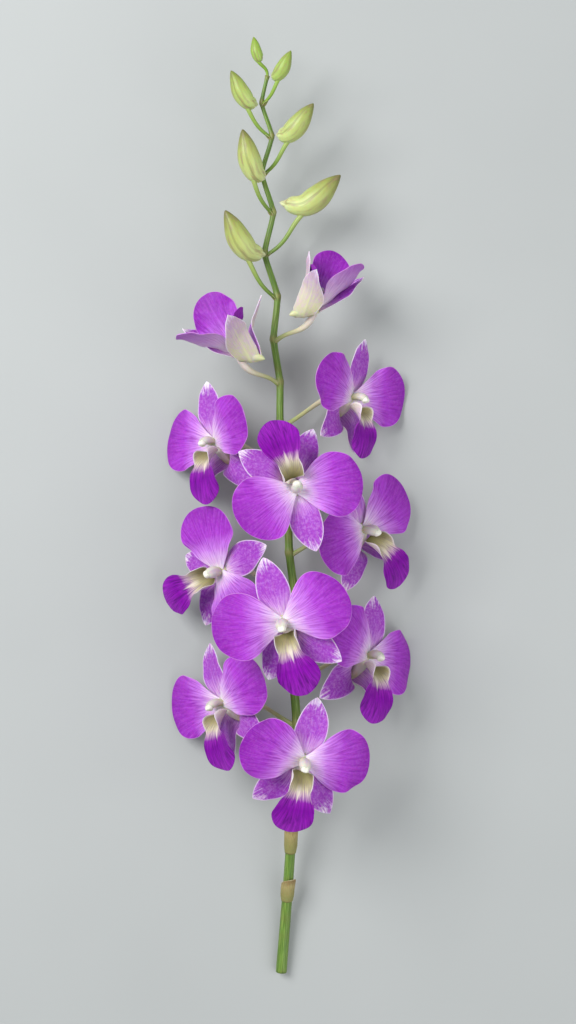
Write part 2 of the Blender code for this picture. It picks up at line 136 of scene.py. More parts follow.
def through(stations, values, u):
    """A smooth curve through the values at these stations, read at u: cubic pieces whose slope
    at each station is that of the line between its neighbours."""
    stations, values, u = (np.asarray(numbers, float) for numbers in (stations, values, u))
    slopes = np.gradient(values, stations, axis=0)
    piece = np.clip(np.searchsorted(stations, u, side="right") - 1, 0, len(stations) - 2)
    width = stations[piece + 1] - stations[piece]
    t = (u - stations[piece]) / width
    if values.ndim > 1:
        t, width = t[..., None], width[..., None]
    start, end = values[piece], values[piece + 1]
    leave, arrive = slopes[piece] * width, slopes[piece + 1] * width
    return (
        start * (2 * t**3 - 3 * t**2 + 1)
        + leave * (t**3 - 2 * t**2 + t)
        + end * (3 * t**2 - 2 * t**3)
        + arrive * (t**3 - t**2)
    )


def unit(vectors):
    """Each vector divided by its length."""
    return vectors / np.linalg.norm(vectors, axis=-1, keepdims=True)


print("halfway from 0 to 1, on the way back to 0:", float(through([0, 1, 2], [0, 1, 0], 0.5)))

# %% Arcs along and across a strip


def arc_along(u, length, start, end):
    """How far a line has gone out and up at u, if its slope turns steadily from start to end:
    out is length (sin slope - sin start) / turn, up is length (cos start - cos slope) / turn."""
    turn = end - start
    slope = start + turn * u
    out = length * (np.sin(slope) - math.sin(start)) / turn
    return out, length * (math.cos(start) - np.cos(slope)) / turn, slope


def bent_across(s, curl):
    """How far a rolled strip has gone sideways and up, s from its middle: sin(curl s) / curl and
    (1 - cos(curl s)) / curl, written with sinc so that a flat strip works too."""
    sideways = s * np.sinc(curl * s / math.pi)
    return sideways, 0.5 * curl * s**2 * np.sinc(curl * s / (2 * math.pi)) ** 2


quarter = float(arc_along(1, 30, 0, math.pi / 2)[0])
print(f"a quarter arc 30 mm long goes out {quarter:.1f} mm")

# %% [markdown]
# ## Meshes from rings
#
# Every part of the plant here is a sleeve: rings of points along a line, joined by squares, with
# each end closed by a strip of squares across it. A flat ring gives a petal with a front and a
# back, a round one gives a stalk, so one kind of mesh serves a whole flower.
#
# Each point also carries three facts for the materials. Blade says how far along it is, how far
# from the edge, and whether it is on the front. On a round part its second number is a share that
# the material explains. Place says where the point is on the flattened part, in millimetres. Rays
# gives the coordinate that veins follow.

# %% Squares and volume
FACTS = "blade", "place", "rays"


def sleeve_faces(rows, around):
    """The squares between each ring and the next, and the squares across the two end rings."""
    ring = np.arange(rows * around).reshape(rows, around)
    following = np.roll(ring, -1, axis=1)
    sides = np.stack([ring[:-1], following[:-1], following[1:], ring[1:]], axis=-1).reshape(-1, 4)
    k = np.arange(around // 2 - 1)
    end = np.stack([k, k + 1, around - 2 - k, around - 1 - k], axis=-1)
    return np.concatenate([sides, end[:, ::-1], end + (rows - 1) * around])


def volume_inside(points, quads):
    """The sum over all triangles of the corner product a . (b x c) / 6, which is negative where
    the faces point inwards."""
    triangles = points[np.concatenate([quads[:, :3], quads[:, [0, 2, 3]]])]
    a, b, c = triangles[:, 0], triangles[:, 1], triangles[:, 2]
    return np.einsum("ij,ij->i", a, np.cross(b, c)).sum() / 6


def sleeve(rings, blade, place, rays, finish=0):
    """One sleeve as a dictionary of arrays, with its faces pointing outwards. Blade, place and
    rays hold the facts of each point, in the same grid as the rings."""
    points = rings.reshape(-1, 3)
    quads = sleeve_faces(*rings.shape[:2])
    if volume_inside(points, quads) < 0:
        quads = quads[:, ::-1]
    made = {"points": points, "quads": quads, "finish": np.full(len(quads), finish)}
    for fact, values in zip(FACTS, (blade, place, rays)):
        grids = [np.broadcast_to(value, rings.shape[:2]) for value in values]
        made[fact] = np.stack(grids, axis=-1).reshape(-1, 3)
    return made


print("a ring of 8 points and 3 rows has", len(sleeve_faces(3, 8)), "squares")

# %% From sleeves to a piece
LOWEST = 0.02 * MM  # a hair above the surface, so that no face lies in it


def make_piece(name, sleeves, materials, node):
    """Joins sleeves in one mesh object that stands for a solid, and rides where it rides. Points
    that would dip under the surface are lifted onto it."""
    firsts = np.cumsum([0] + [len(s["points"]) for s in sleeves[:-1]])
    points = np.concatenate([s["points"] for s in sleeves])
    points[:, 2] = np.maximum(points[:, 2], LOWEST)
    quads = np.concatenate([s["quads"] + first for s, first in zip(sleeves, firsts)])
    finishes = np.concatenate([s["finish"] for s in sleeves])
    mesh = bpy.data.meshes.new(name)
    mesh.vertices.add(len(points))
    mesh.vertices.foreach_set("co", points.astype(np.float32).ravel())
    mesh.loops.add(quads.size)
    mesh.loops.foreach_set("vertex_index", quads.astype(np.int32).ravel())
    mesh.polygons.add(len(quads))
    mesh.polygons.foreach_set("loop_start", np.arange(0, quads.size, 4, dtype=np.int32))
    mesh.polygons.foreach_set("material_index", finishes.astype(np.int32))
    mesh.update(calc_edges=True)
    for fact in FACTS:
        values = np.concatenate([s[fact] for s in sleeves]).astype(np.float32)
        attribute = mesh.attributes.new(fact, "FLOAT_VECTOR", "POINT")
        attribute.data.foreach_set("vector", values.ravel())
    mesh.shade_smooth()
    for material in materials:
        mesh.materials.append(material)
    piece = bpy.data.objects.new(name, mesh)
    bpy.context.scene.collection.objects.link(piece)
    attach(piece, "root")
    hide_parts(node)
    return piece


print(f"points are kept at least {LOWEST / MM} mm above the surface")

# %% [markdown]
# A round part is a circle carried along a path. Blender's curves can do that too, with a bevel,
# but a bevel can't hollow a column on one side or pinch a bud at its seams. Here each ring has its
# own radius, and a shape that may differ all the way round.

# %% Directions round a path
NEARLY_UPRIGHT = 0.2  # the sine of the angle between such a path and the upright


def ring_angles(count):
    """Evenly spaced angles round a ring, half a step off the axis."""
    return (np.arange(count) + 0.5) * 2 * math.pi / count


def cross_frames(path):
    """Two directions across a path at each of its points, carried along it without twisting. The
    first starts level, or along X where the path starts nearly upright."""
    tangents = unit(np.gradient(path, axis=0))
    across = np.cross(tangents[0], [0, 0, 1.0])
    if np.linalg.norm(across) < NEARLY_UPRIGHT:
        across = np.array([1.0, 0, 0])
    firsts = []
    for tangent in tangents:
        across = across - tangent * (across @ tangent)
        across = across / np.linalg.norm(across)
        firsts.append(across)
    firsts = np.array(firsts)
    return firsts, np.cross(tangents, firsts)


print("a ring of 8 starts at", round(math.degrees(ring_angles(8)[0]), 1), "degrees")

# %% Round sleeves


def round_sleeve(path, radii, around, fact=0.0, finish=0, shape=1.0):
    """A round sleeve: ring k is path[k] + radius (cos a across + sin a upward). Radii are scaled
    by shape, a number or a grid, and fact is the share that its material explains. Its place is
    (r cos a, r sin a, distance) in millimetres, and its rays (cos 3a, cos 9a, share of the way
    along)."""
    across, upward = cross_frames(path)
    angle = ring_angles(around)
    radius = radii[:, None] * np.broadcast_to(shape, (len(path), around))
    sideways, up = radius * np.cos(angle), radius * np.sin(angle)
    rings = path[:, None] + sideways[..., None] * across[:, None] + up[..., None] * upward[:, None]
    steps = np.linalg.norm(np.diff(path, axis=0), axis=1)
    distance = np.concatenate([[0], np.cumsum(steps)])[:, None]
    u = distance / distance[-1]
    place = (sideways / MM, up / MM, distance / MM)
    return sleeve(rings, (u, fact, 1.0), place, (np.cos(3 * angle), np.cos(9 * angle), u), finish)


tube = round_sleeve(np.array([[0, 0, 0], [0, 0.01, 0], [0, 0.02, 0]]), np.full(3, 0.002), 8)
print("a short tube holds", round(volume_inside(tube["points"], tube["quads"]) / MM**3), "cubic mm")

# %% [markdown]
# ## The stem's line
#
# The stem rises from its cut end to the height at which its side flowers hold it, sways a little
# and bends away from each stalk. The numbers are the same as the solids were made with, so each
# fine surface lies on its solid.
#
# A flower is given by its offset from its node in millimetres, by how many degrees it leans to a
# side, nods and rolls, by how far it is open, and by its size. A bud is given by the side that it
# grows on, the degrees that it points above the surface, its stalk's reach in millimetres, its
# lean away from the stem, its size and the length of its chin.

# %% The stem, its flowers and its buds in numbers
CUT_RADIUS, RACHIS_RADIUS, TIP_RADIUS = 2.8 * MM, 1.9 * MM, 0.9 * MM
RACHIS_HEIGHT, BUD_RISE, SWAY = 19 * MM, 7 * MM, 7 * MM
BARE_LENGTH, FLOWER_PITCH = 106 * MM, 21 * MM
BUD_PITCHES = np.array([21, 21, 20, 19, 18, 16, 13]) * MM
CUT_END = np.array([-3.4, -230.9, 0.0]) * MM
ZIGZAG = {"flower": 0.8 * MM, "bud": 2.6 * MM}
STRAIGHTNESS = 0.65
NODE_SWELLING = 0.35 * MM

FLOWER_FACTS = "offset", "lean", "nod", "roll", "open", "size"
FLOWER_ROWS = (
    ((4, 8, 38), 6, 14, -14, 1.0, 1.02),
    ((-36, 10, 2), -47, 6, 22, 1.0, 1.02),
    ((36, 12, 4.15), 42, -4, -18, 1.0, 1.03),
    ((-5, 10, 40), -8, 10, 20, 1.0, 1.05),
    ((-36, 12, 6.13), -40, 6, -62, 1.0, 1.02),
    ((36, 11, 4.9), 44, 4, 34, 1.0, 1.02),
    ((3, 10, 38), 8, -8, -158, 1.0, 1.02),
    ((-35, 12, 1.85), -42, 0, 12, 0.95, 1.0),
    ((35, 13, -1), 50, 4, -10, 0.92, 0.98),
    ((-20, 13, 17), -62, -52, 120, 0.38, 0.98),
    ((20, 14, 14), 64, -58, -124, 0.3, 0.94),
)
BUD_FACTS = "side", "above", "reach", "lean", "size", "chin"
BUD_ROWS = (
    (-1, 36, 27, 28, 1.08, 0.9),
    (1, 14, 29, 44, 1.1, 1.05),
    (-1, 50, 23, 16, 1.0, 0.75),
    (1, 30, 22, 38, 0.92, 0.7),
    (-1, 26, 20, 24, 0.8, 0.65),
    (1, 40, 15, 30, 0.64, 0.6),
    (-1, 30, 10, 8, 0.5, 0.4),
)
FLOWERS = [dict(zip(FLOWER_FACTS, row)) for row in FLOWER_ROWS]
BUDS = [dict(zip(BUD_FACTS, row)) for row in BUD_ROWS]
print(len(FLOWERS), "flowers, then", len(BUDS), "buds; the first flower is", FLOWERS[0])

# %% Where stalks grow, and the line through those places
flower_nodes = BARE_LENGTH + FLOWER_PITCH * np.arange(len(FLOWERS))
LAST_FLOWER = flower_nodes[-1]
NODES = np.concatenate([flower_nodes, LAST_FLOWER + np.cumsum(BUD_PITCHES)])
MIDDLE_ROW = 10  # in mm: flowers with less offset grow upwards, and bend the stem to no side
SWAY_TURNS, BARE_STEPS = 1.6, 4
THICKNESS_SHARES = 1.2, 0.9  # of the rachis radius, at the first and at the last flower


def stem_line():
    """The stem's centre line: a smooth step up over the bare part, 1.6 half turns of a sine for
    the sway, and a step away from each stalk."""
    offsets = [flower["offset"][0] for flower in FLOWERS]
    sides = [0 if abs(x) < MIDDLE_ROW else math.copysign(1, x) for x in offsets]
    steps = [-side * ZIGZAG["flower"] for side in sides]
    steps += [-bud["side"] * ZIGZAG["bud"] for bud in BUDS[:-1]] + [0]
    bare = np.linspace(0, BARE_LENGTH, BARE_STEPS + 1)[:-1]
    distances = np.concatenate([bare, NODES])
    rise = np.clip(distances / BARE_LENGTH, 0, 1)
    height = CUT_RADIUS + (RACHIS_HEIGHT - CUT_RADIUS) * rise**2 * (3 - 2 * rise)
    lift = np.clip((distances - LAST_FLOWER) / (distances[-1] - LAST_FLOWER), 0, 1)
    zigzag = np.concatenate([np.zeros(len(bare)), steps])
    sway = SWAY * np.sin(SWAY_TURNS * math.pi * distances / distances[-1])
    points = np.stack([sway + zigzag, distances, height + BUD_RISE * lift], axis=1) + CUT_END
    return distances, points


LINE = stem_line()
PLACES = LINE[1][-len(NODES) :]
print(f"{len(NODES)} stalks on a stem {LINE[0][-1] / MM:.0f} mm long")

# %% The stem's path and radius at any distance


def stem_path(distance):
    """Smooth on the bare stem, and beyond it a mix of the smooth line and straight runs from
    stalk to stalk, so that the stem turns at each stalk."""
    distances, points = LINE
    smooth = through(distances, points, distance)
    straight = np.stack([np.interp(distance, distances, line) for line in points.T], axis=-1)
    share = STRAIGHTNESS * np.clip((distance - BARE_LENGTH) / FLOWER_PITCH, 0, 1)
    return smooth + np.asarray(share)[..., None] * (straight - smooth)


def stem_radius(distance):
    """The stem's radius, in straight steps between the cut end, the flowers and the tip."""
    first, last = (share * RACHIS_RADIUS for share in THICKNESS_SHARES)
    places = [0, NODES[0], LAST_FLOWER, NODES[-1]]
    return np.interp(distance, places, [CUT_RADIUS, first, last, TIP_RADIUS])


print(f"the stem is {2 * stem_radius(NODES[0]) / MM:.1f} mm thick at its first flower")

# %% [markdown]
# ## Green parts
#
# The stem is living plant skin: a smooth waxy film over green flesh, with a soft shine. Fine
# lengthwise fibres under the skin show as paler streaks, and it is duller and browner at each node
# and in a few long patches. A picture could be wrapped round it, but noise stretched along the
# stem draws the streaks at any size. The place fact is in millimetres, so the streaks are about
# 0.4 mm wide and 11 mm long, as the real ones are, and the brown patches some 8 mm wide. The IOR
# is that of plant wax.

# %% Stem skin: waxy plant skin, smooth, over green fibres
FIBRES = {"stretch": (1.6, 1.6, 0.06), "per_mm": 1.5}  # fine across the stem, long along it
FIBRE_GREENS = [(0.3, "#4C6A26"), (0.5, "#628231"), (0.62, "#7B9943"), (0.75, "#8AA252")]
BROWN_PATCHES_PER_MM, BROWNING = 0.12, {"From Min": 0.5, "From Max": 0.75, "To Max": 0.35}
BUMP_STRENGTH, RIB_RELIEF = 0.3, 0.1 * MM

stem_skin, shader = new_material(
    "stem skin", roughness=0.42, ior=1.45, subsurface_weight=0.08, subsurface_scale=0.002
)
add = partial(add_node, stem_skin)
place = add("Attribute", output=1, attribute_name="place")
blade = add("Attribute", output=1, attribute_name="blade")
knots = add("SeparateXYZ", {0: blade}, output=1)
stretched = add("Mapping", {"Vector": place, "Scale": FIBRES["stretch"]})
streaks = add("TexNoise", {"Vector": stretched, "Scale": FIBRES["per_mm"], "Detail": 3.0})
greens = add("ValToRGB", {0: streaks}, stops=FIBRE_GREENS)
patches = add("TexNoise", {"Vector": place, "Scale": BROWN_PATCHES_PER_MM, "Detail": 2.0})
browning = add("MapRange", {"Value": patches, **BROWNING})
browned = add("Mix", {0: browning, 6: greens, 7: linear("#7A6B3A")}, **MIX)
ringed = add("Mix", {0: knots, 6: browned, 7: linear("#9A8C5E")}, **MIX)
ribs = add("Bump", {"Strength": BUMP_STRENGTH, "Distance": RIB_RELIEF, "Height": streaks})
feed(shader, {"Base Color": ringed, "Normal": ribs})
print(stem_skin.name, "has", len(stem_skin.node_tree.nodes), "nodes")

# %% [markdown]
# The cut end shows what the skin hides: pale wet pith, cut flat by a blade, so it shines a little
# and lets some light in. It is dotted with the ends of the fibres. Real fibre ends are some
# 0.3 mm across. Here they are about twice that, so that a few can be told apart. The pith is a
# material of its own on the few squares that close the stem.

# %% Cut pith: fresh and wet, with fibre ends as dots
FIBRE_ENDS_PER_MM = 1.4
PITH = [(0.1, "#8C8A4E"), (0.3, "#C9CE96"), (0.8, "#D9DBAE")]

cut_pith, shader = new_material(
    "cut pith", roughness=0.3, ior=1.4, subsurface_weight=0.2, subsurface_scale=0.002
)
place = add_node(cut_pith, "Attribute", output=1, attribute_name="place")
dots = add_node(cut_pith, "TexVoronoi", {"Vector": place, "Scale": FIBRE_ENDS_PER_MM})
feed(shader, {"Base Color": add_node(cut_pith, "ValToRGB", {0: dots}, stops=PITH)})
print("fibre ends are", round(1 / FIBRE_ENDS_PER_MM, 1), "mm apart on the cut")

# %% [markdown]
# ## Flat parts
#
# Petals, sepals, scales and the lip are all strips. `arched_strip` bends one by the arc formulas,
# and `fine_blade` gives it a front and a back, half a millimetre apart and thinner towards the
# margin, as a real petal is. Solidify could do that to a single surface, but it would make the
# margin as thick as the middle. The facts that the blade stores let a material draw veins that fan
# out from the claw: the ray of a point is its distance from the midline over its distance from a
# point just behind the claw.

# %% Outlines
OPENING_POWER = 1.3


def half_width(u, outline):
    """Half the width of a sepal or petal: it opens from its claw along a quarter of a sine wave,
    to the power 1.3, and closes past its widest place along an ellipse that another power makes
    rounder or more pointed."""
    u = np.clip(u, 0, 1)
    sine = np.sin(0.5 * math.pi * np.minimum(u / outline["peak"], 1))
    opening = outline["claw"] + (1 - outline["claw"]) * sine**OPENING_POWER
    past = np.clip((u - outline["peak"]) / (1 - outline["peak"]), 0, 1)
    return outline["widest"] * opening * (1 - past**2) ** outline["point"]


oval = {"widest": 10, "claw": 0.2, "peak": 0.5, "point": 0.5}
print("half widths of an oval:", [round(float(half_width(u, oval)), 1) for u in (0, 0.25, 0.5, 1)])

# %% Strips
MARGIN_UNEVENNESS = 0.032
MARGIN_TURNS, MARGIN_LAG = 7.5, 2.2  # in radians: along the margin, and between its two sides


def arched_strip(length, half, root, axes, start, end, curl, twist=0.0, shift=0.0, wobble=0.0):
    """A strip that leaves its root along the first axis. Its slope towards the third axis turns
    from start to end, it is rolled across by curl, and it twists evenly by twist. Wobble makes
    its outline uneven by a share that is a sine of u and v, so its two sides differ."""
    out, left, face = (np.asarray(axis, float) for axis in axes)

    def surface(u, v):
        ahead, up, slope = arc_along(u, length, start, end)
        ripple = np.sin(MARGIN_TURNS * u + MARGIN_LAG * v + wobble)
        ragged = 1 + MARGIN_UNEVENNESS * ripple if wobble else 1
        sideways, lift = bent_across(v * half(u) * ragged, curl(u) if callable(curl) else curl)
        across = sideways * np.cos(twist * u) - lift * np.sin(twist * u)
        above = sideways * np.sin(twist * u) + lift * np.cos(twist * u)
        return (
            root
            + (shift + ahead - above * np.sin(slope))[..., None] * out
            + across[..., None] * left
            + (up + above * np.cos(slope))[..., None] * face
        )

    return surface


straight_axes = ((0, 1, 0), (1, 0, 0), (0, 0, 1))
strip = arched_strip(30, lambda u: half_width(u, oval), 0, straight_axes, 0, math.pi / 2, 0.05)
print("a strip's middle line ends at", strip(np.array(1.0), np.array(0.0)).round(1), "mm")

# %% Blades with a front and a back
LAST_ROW = 0.9998  # just short of the tip, where a row would shrink to a point
SMALL_STEP = 1e-4
MARGIN_SHARE = 0.4  # how thick the margin is beside the middle
FAN_START = 5  # in mm: the veins fan out from this far behind the claw
SEED_STEP = {"place": 17.3, "rays": 3.1}  # shifts the noise, so that no two blades are alike


def fine_blade(surface, half, length, grid, thickness, waves, seed, finish=0):
    """A closed blade round a surface. Each ring runs over the front and back again behind it. The
    surface is lifted by waves(u, v, s), where s is the distance from the midline as a share of
    the greatest half width, and each face lies half the thickness from it."""
    rows = LAST_ROW * (1 - (1 - np.linspace(0, 1, grid[0])) ** 2)
    columns = np.sin(np.linspace(-1, 1, grid[1]) * math.pi / 2)
    u, v = np.meshgrid(rows, columns, indexing="ij")
    along = surface(u + SMALL_STEP, v) - surface(u - SMALL_STEP, v)
    across = surface(u, v + SMALL_STEP) - surface(u, v - SMALL_STEP)
    normal = unit(np.cross(along, across))
    width = half(u)
    middle = surface(u, v) + normal * waves(u, v, v * width / width.max())[..., None]
    swelling = MARGIN_SHARE + (1 - MARGIN_SHARE) * np.sqrt(np.clip(1 - v**2, 0, 1))
    depth = normal * (thickness / 2 * swelling)[..., None]
    both = lambda front, back: np.concatenate([front, back[:, ::-1]], axis=1)
    margin = np.minimum((1 - np.abs(v)) * width, (1 - u) * length) / MM
    sideways, ahead = v * width / MM, u * length / MM
    ray = sideways / (FAN_START + ahead)
    blade = both(u, u), both(margin, margin), both(np.ones_like(u), np.zeros_like(u))
    place = both(sideways, sideways), both(ahead, ahead), SEED_STEP["place"] * seed
    rays = both(ray, ray), both(u, u), SEED_STEP["rays"] * seed
    return sleeve(both(middle + depth, middle - depth), blade, place, rays, finish)


print(f"a blade's margin is {MARGIN_SHARE:.0%} as thick as its middle")

# %% [markdown]
# ## Petal and sepal skins
#
# A petal's skin is one layer of dome-shaped cells over pigment, which gives it a soft satin look:
# rough, with a little light passing through. Its IOR lies between water's and wax's. Its violet is
# deep in the outer part and almost white at the claw. Veins branch as they fan out: coarse ones
# run all the way, and finer ones appear between them further out. Real veins are about 0.7 mm
# apart near the margin. Here they are nearly twice as far apart, so that they still show in a
# picture of the whole stem.
#
# A photograph laid on the petals would look the same on all of them. Noises and waves don't, so
# one recipe built from them serves petals, sepals, lip and scales. Blotches some 6 mm wide,
# patches a little over 1 mm wide and streaks about 1 by 7 mm along the veins stand for cells that
# hold more or less pigment. Real ones are finer, and would run together at this distance.

# %% Noises that all flat parts share
BLOTCHES_PER_MM, PATCHES_PER_MM = 0.16, 0.8
STREAKS_ACROSS, STREAKS_ALONG = 2.6, 4.5  # for each coarse vein, and over the blade's length
BLOTCH_WEIGHT, PATCH_WEIGHT, NOISE_MIDDLE = 0.4, 0.25, 0.82


def pigment(add, place, ray, rays):
    """Blotches, patches and streaks, three noises of 0 to 1, and their weighted sum less its
    middle value."""
    blotches = add("TexNoise", {"Vector": place, "Scale": BLOTCHES_PER_MM, "Detail": 2.0})
    stretch = (STREAKS_ACROSS * rays, STREAKS_ALONG, 1.0)
    drawn_out = add("Mapping", {"Vector": ray, "Scale": stretch})
    noise = {"Vector": drawn_out, "Scale": 1.0, "Detail": 3.0, "Distortion": 0.4}
    streaks = add("TexNoise", noise)
    noise = {"Vector": place, "Scale": PATCHES_PER_MM, "Detail": 4.0, "Distortion": 0.6}
    patches = add("TexNoise", noise)
    both = add("Math", {0: blotches, 1: BLOTCH_WEIGHT, 2: streaks}, operation="MULTIPLY_ADD")
    mottled = add("Math", {0: patches, 1: PATCH_WEIGHT, 2: both}, operation="MULTIPLY_ADD")
    centred = add("Math", {0: mottled, 1: NOISE_MIDDLE}, operation="SUBTRACT")
    return blotches, patches, streaks, centred


print(f"blotches are about {1 / BLOTCHES_PER_MM:.0f} mm wide, patches {1 / PATCHES_PER_MM:.1f} mm")

# %% Veins that all flat parts share
PETAL_RAYS = 11  # a petal's coarse veins to each unit of ray
RAYS_TO_WAVES = 0.314  # a wave texture of scale 1 has a line every 0.314: a tenth of pi
VEIN_KINDS = (1, 0.84), (2, 0.88)  # how many times as many, and above what crest height a vein
VEIN_WANDER = {"Distortion": 2.4, "Detail": 3.0, "Detail Scale": 0.8}
VEIN_STRENGTH, BRANCHING = 0.6, {"From Min": 0.35, "From Max": 0.6}


def vein_lines(add, ray, u, rays):
    """The crests of two wavy wave textures, one with this many lines to each unit of ray and one
    with twice as many, which appear between 0.35 and 0.6 of the length."""
    lines = []
    for times, crest in VEIN_KINDS:
        wave = {"Vector": ray, "Scale": RAYS_TO_WAVES * rays * times, **VEIN_WANDER}
        crests = add("TexWave", wave, output=1)
        lines.append(add("MapRange", {"Value": crests, "From Min": crest, "To Max": VEIN_STRENGTH}))
    coarse, fine = lines
    later = add("MapRange", {"Value": u, **BRANCHING})
    branches = add("Math", {0: fine, 1: later}, operation="MULTIPLY")
    return add("Math", {0: coarse, 1: branches}, operation="MAXIMUM")


print(f"a petal has a coarse vein every {1 / PETAL_RAYS:.2f} of a unit of ray")

# %% Pale margins and tips
EDGE_STRENGTH = 0.8
EDGE_END, TIP_FADE = 0.08, 0.26  # over what share of the length a margin ends and a tip pales


def pale_share(add, u, margin, shifted, edge_mm, edge_until, tip):
    """The share of the edge colour: a line that fades over edge_mm from the margin and ends at
    edge_until, or, where it is more, a ragged smooth step that begins at tip."""
    fade = {"From Max": edge_mm, "To Min": EDGE_STRENGTH, "To Max": 0.0}
    near_edge = add("MapRange", {"Value": margin, **fade})
    ends = {"From Min": edge_until - EDGE_END, "From Max": edge_until}
    early = add("MapRange", {"Value": u, **ends, "To Min": 1.0, "To Max": 0.0})
    rim = add("Math", {0: near_edge, 1: early}, operation="MULTIPLY")
    ends = {"From Min": tip, "From Max": tip + TIP_FADE}
    at_tip = add("MapRange", {"Value": shifted, **ends}, interpolation_type="SMOOTHSTEP")
    return add("Math", {0: rim, 1: at_tip}, operation="MAXIMUM")


print(f"a margin's line is {EDGE_STRENGTH:.0%} its own colour")

# %% A line down the middle
LINE_EDGE_MM, LINE_START = 0.6, 0.12


def middle_line(add, base, u, front, place, colour, side, starts, ends, half_mm, share):
    """The base with a line of this colour down the middle of one side (1 front, 0 back). The
    line's half width shrinks evenly to nothing at its end, and its edges fade over 0.6 mm."""
    off_middle = add("Math", {0: add("SeparateXYZ", {0: place})}, operation="ABSOLUTE")
    shrink = {"From Min": starts, "From Max": ends, "To Min": half_mm, "To Max": 0.0}
    reach = add("MapRange", {"Value": u, **shrink})
    inside = add("Math", {0: reach, 1: off_middle}, operation="SUBTRACT")
    soft = add("MapRange", {"Value": inside, "From Max": LINE_EDGE_MM, "To Max": share})
    begun = add("MapRange", {"Value": u, "From Min": starts - LINE_START, "From Max": starts})
    on_side = add("MapRange", {"Value": front, "To Min": 1.0 - side, "To Max": float(side)})
    both = add("Math", {0: soft, 1: begun}, operation="MULTIPLY")
    line = add("Math", {0: both, 1: on_side}, operation="MULTIPLY")
    return add("Mix", {0: line, 6: base, 7: linear(colour)}, **MIX)


print(f"a middle line's edges fade over {LINE_EDGE_MM} mm")

# %% One recipe for petals, sepals, lip and scales
PALE_PATCH, PATCH_EDGES = "#DDA9EA", {"From Min": 0.42, "From Max": 0.68}
STREAK_EDGES = {"From Min": 0.45, "From Max": 0.68}
CLAW_PART, CLAW_STRENGTH = {"From Min": 0.1, "From Max": 0.45}, 0.35
BEHIND = {"To Min": 0.5, "To Max": 1.0}
BLADE_RELIEF = 0.2 * MM


def blade_skin(
    name, front, back, vein, edge, edge_mm, rays, share,
    tip=1.0, edge_until=2.0, ragged=0.3, paler=0.0, middle=None, **shader_values,
):
    """Colours along the front and the back, moved along by ragged times the noise, with patches
    that are paler by that share, veins and finer streaks along the rays, weaker at the claw and
    half as strong behind, pale margins and tips, and a line down the middle where one is given."""
    material, shader = new_material(name, **shader_values)
    add = partial(add_node, material)
    blade, place, ray = (add("Attribute", output=1, attribute_name=fact) for fact in FACTS)
    u, margin, side = add("SeparateXYZ", {0: blade}).node.outputs
    blotches, patches, streaks, centred = pigment(add, place, ray, rays)
    shifted = add("Math", {0: centred, 1: ragged, 2: u}, operation="MULTIPLY_ADD")
    fronts, backs = (add("ValToRGB", {0: shifted}, stops=stops) for stops in (front, back))
    even = add("Mix", {0: side, 6: backs, 7: fronts}, **MIX)
    spots = add("MapRange", {"Value": patches, **PATCH_EDGES, "To Max": paler})
    base = add("Mix", {0: spots, 6: even, 7: linear(PALE_PATCH)}, **MIX)

    veins = vein_lines(add, ray, u, rays)
    dark = add("MapRange", {"Value": streaks, **STREAK_EDGES})
    marks = add("Math", {0: veins, 1: dark}, operation="MAXIMUM")
    deepening = {**CLAW_PART, "To Min": CLAW_STRENGTH * share, "To Max": share}
    outer = add("MapRange", {"Value": u, **deepening})
    fainter = add("MapRange", {"Value": side, **BEHIND})
    strength = add("Math", {0: outer, 1: fainter}, operation="MULTIPLY")
    marked = add("Math", {0: marks, 1: strength}, operation="MULTIPLY")
    veined = add("Mix", {0: marked, 6: base, 7: linear(vein)}, **MIX)

    pale = pale_share(add, u, margin, shifted, edge_mm, edge_until, tip)
    colour = add("Mix", {0: pale, 6: veined, 7: linear(edge)}, **MIX)
    if middle:
        colour = middle_line(add, colour, u, side, place, **middle)
    relief = add("Math", {0: blotches, 1: marks}, operation="SUBTRACT")
    bump = add("Bump", {"Strength": BUMP_STRENGTH, "Distance": BLADE_RELIEF, "Height": relief})
    feed(shader, {"Base Color": colour, "Normal": bump})
    return material


print(f"blotches and veins stand {BLADE_RELIEF / MM} mm high")

# %% Petal skin: satin cells over violet pigment, white at the claw
SATIN = {"roughness": 0.48, "ior": 1.4, "specular_ior_level": 0.3}
SATIN |= {"subsurface_weight": 0.15, "subsurface_scale": 0.0012}
WHITE_CLAW = [(0.04, "#F5EDF5"), (0.17, "#E3C0EC")]
VIOLET = [(0.34, "#C87CE2"), (0.56, "#AB3CCB"), (0.95, "#8F20AC")]

petal_skin = blade_skin(
    "petal skin",
    front=WHITE_CLAW + VIOLET,
    back=[(0.1, "#EFE6E6"), (0.4, "#D9B4E0"), (0.9, "#B066C6")],
    vein="#7D0F98",
    edge="#D497E0",
    edge_mm=0.4,
    rays=PETAL_RAYS,
    share=0.62,
    ragged=0.16,
    paler=0.08,
    **SATIN,
)
print(len(petal_skin.node_tree.nodes), "nodes draw a petal")

# %% [markdown]
# Sepals have the same satin skin over paler, mottled pigment. Their margins are a thin white line,
# and the pigment gives out towards the tip in ragged streaks. Their backs, which were the outside
# of the bud, keep its grey-green, with a paler vein down the middle.

# %% Sepal skin: satin cells over mottled violet, grey-green behind
MIDRIB = {"colour": "#D8DBA8", "half_mm": 0.9, "share": 0.6}

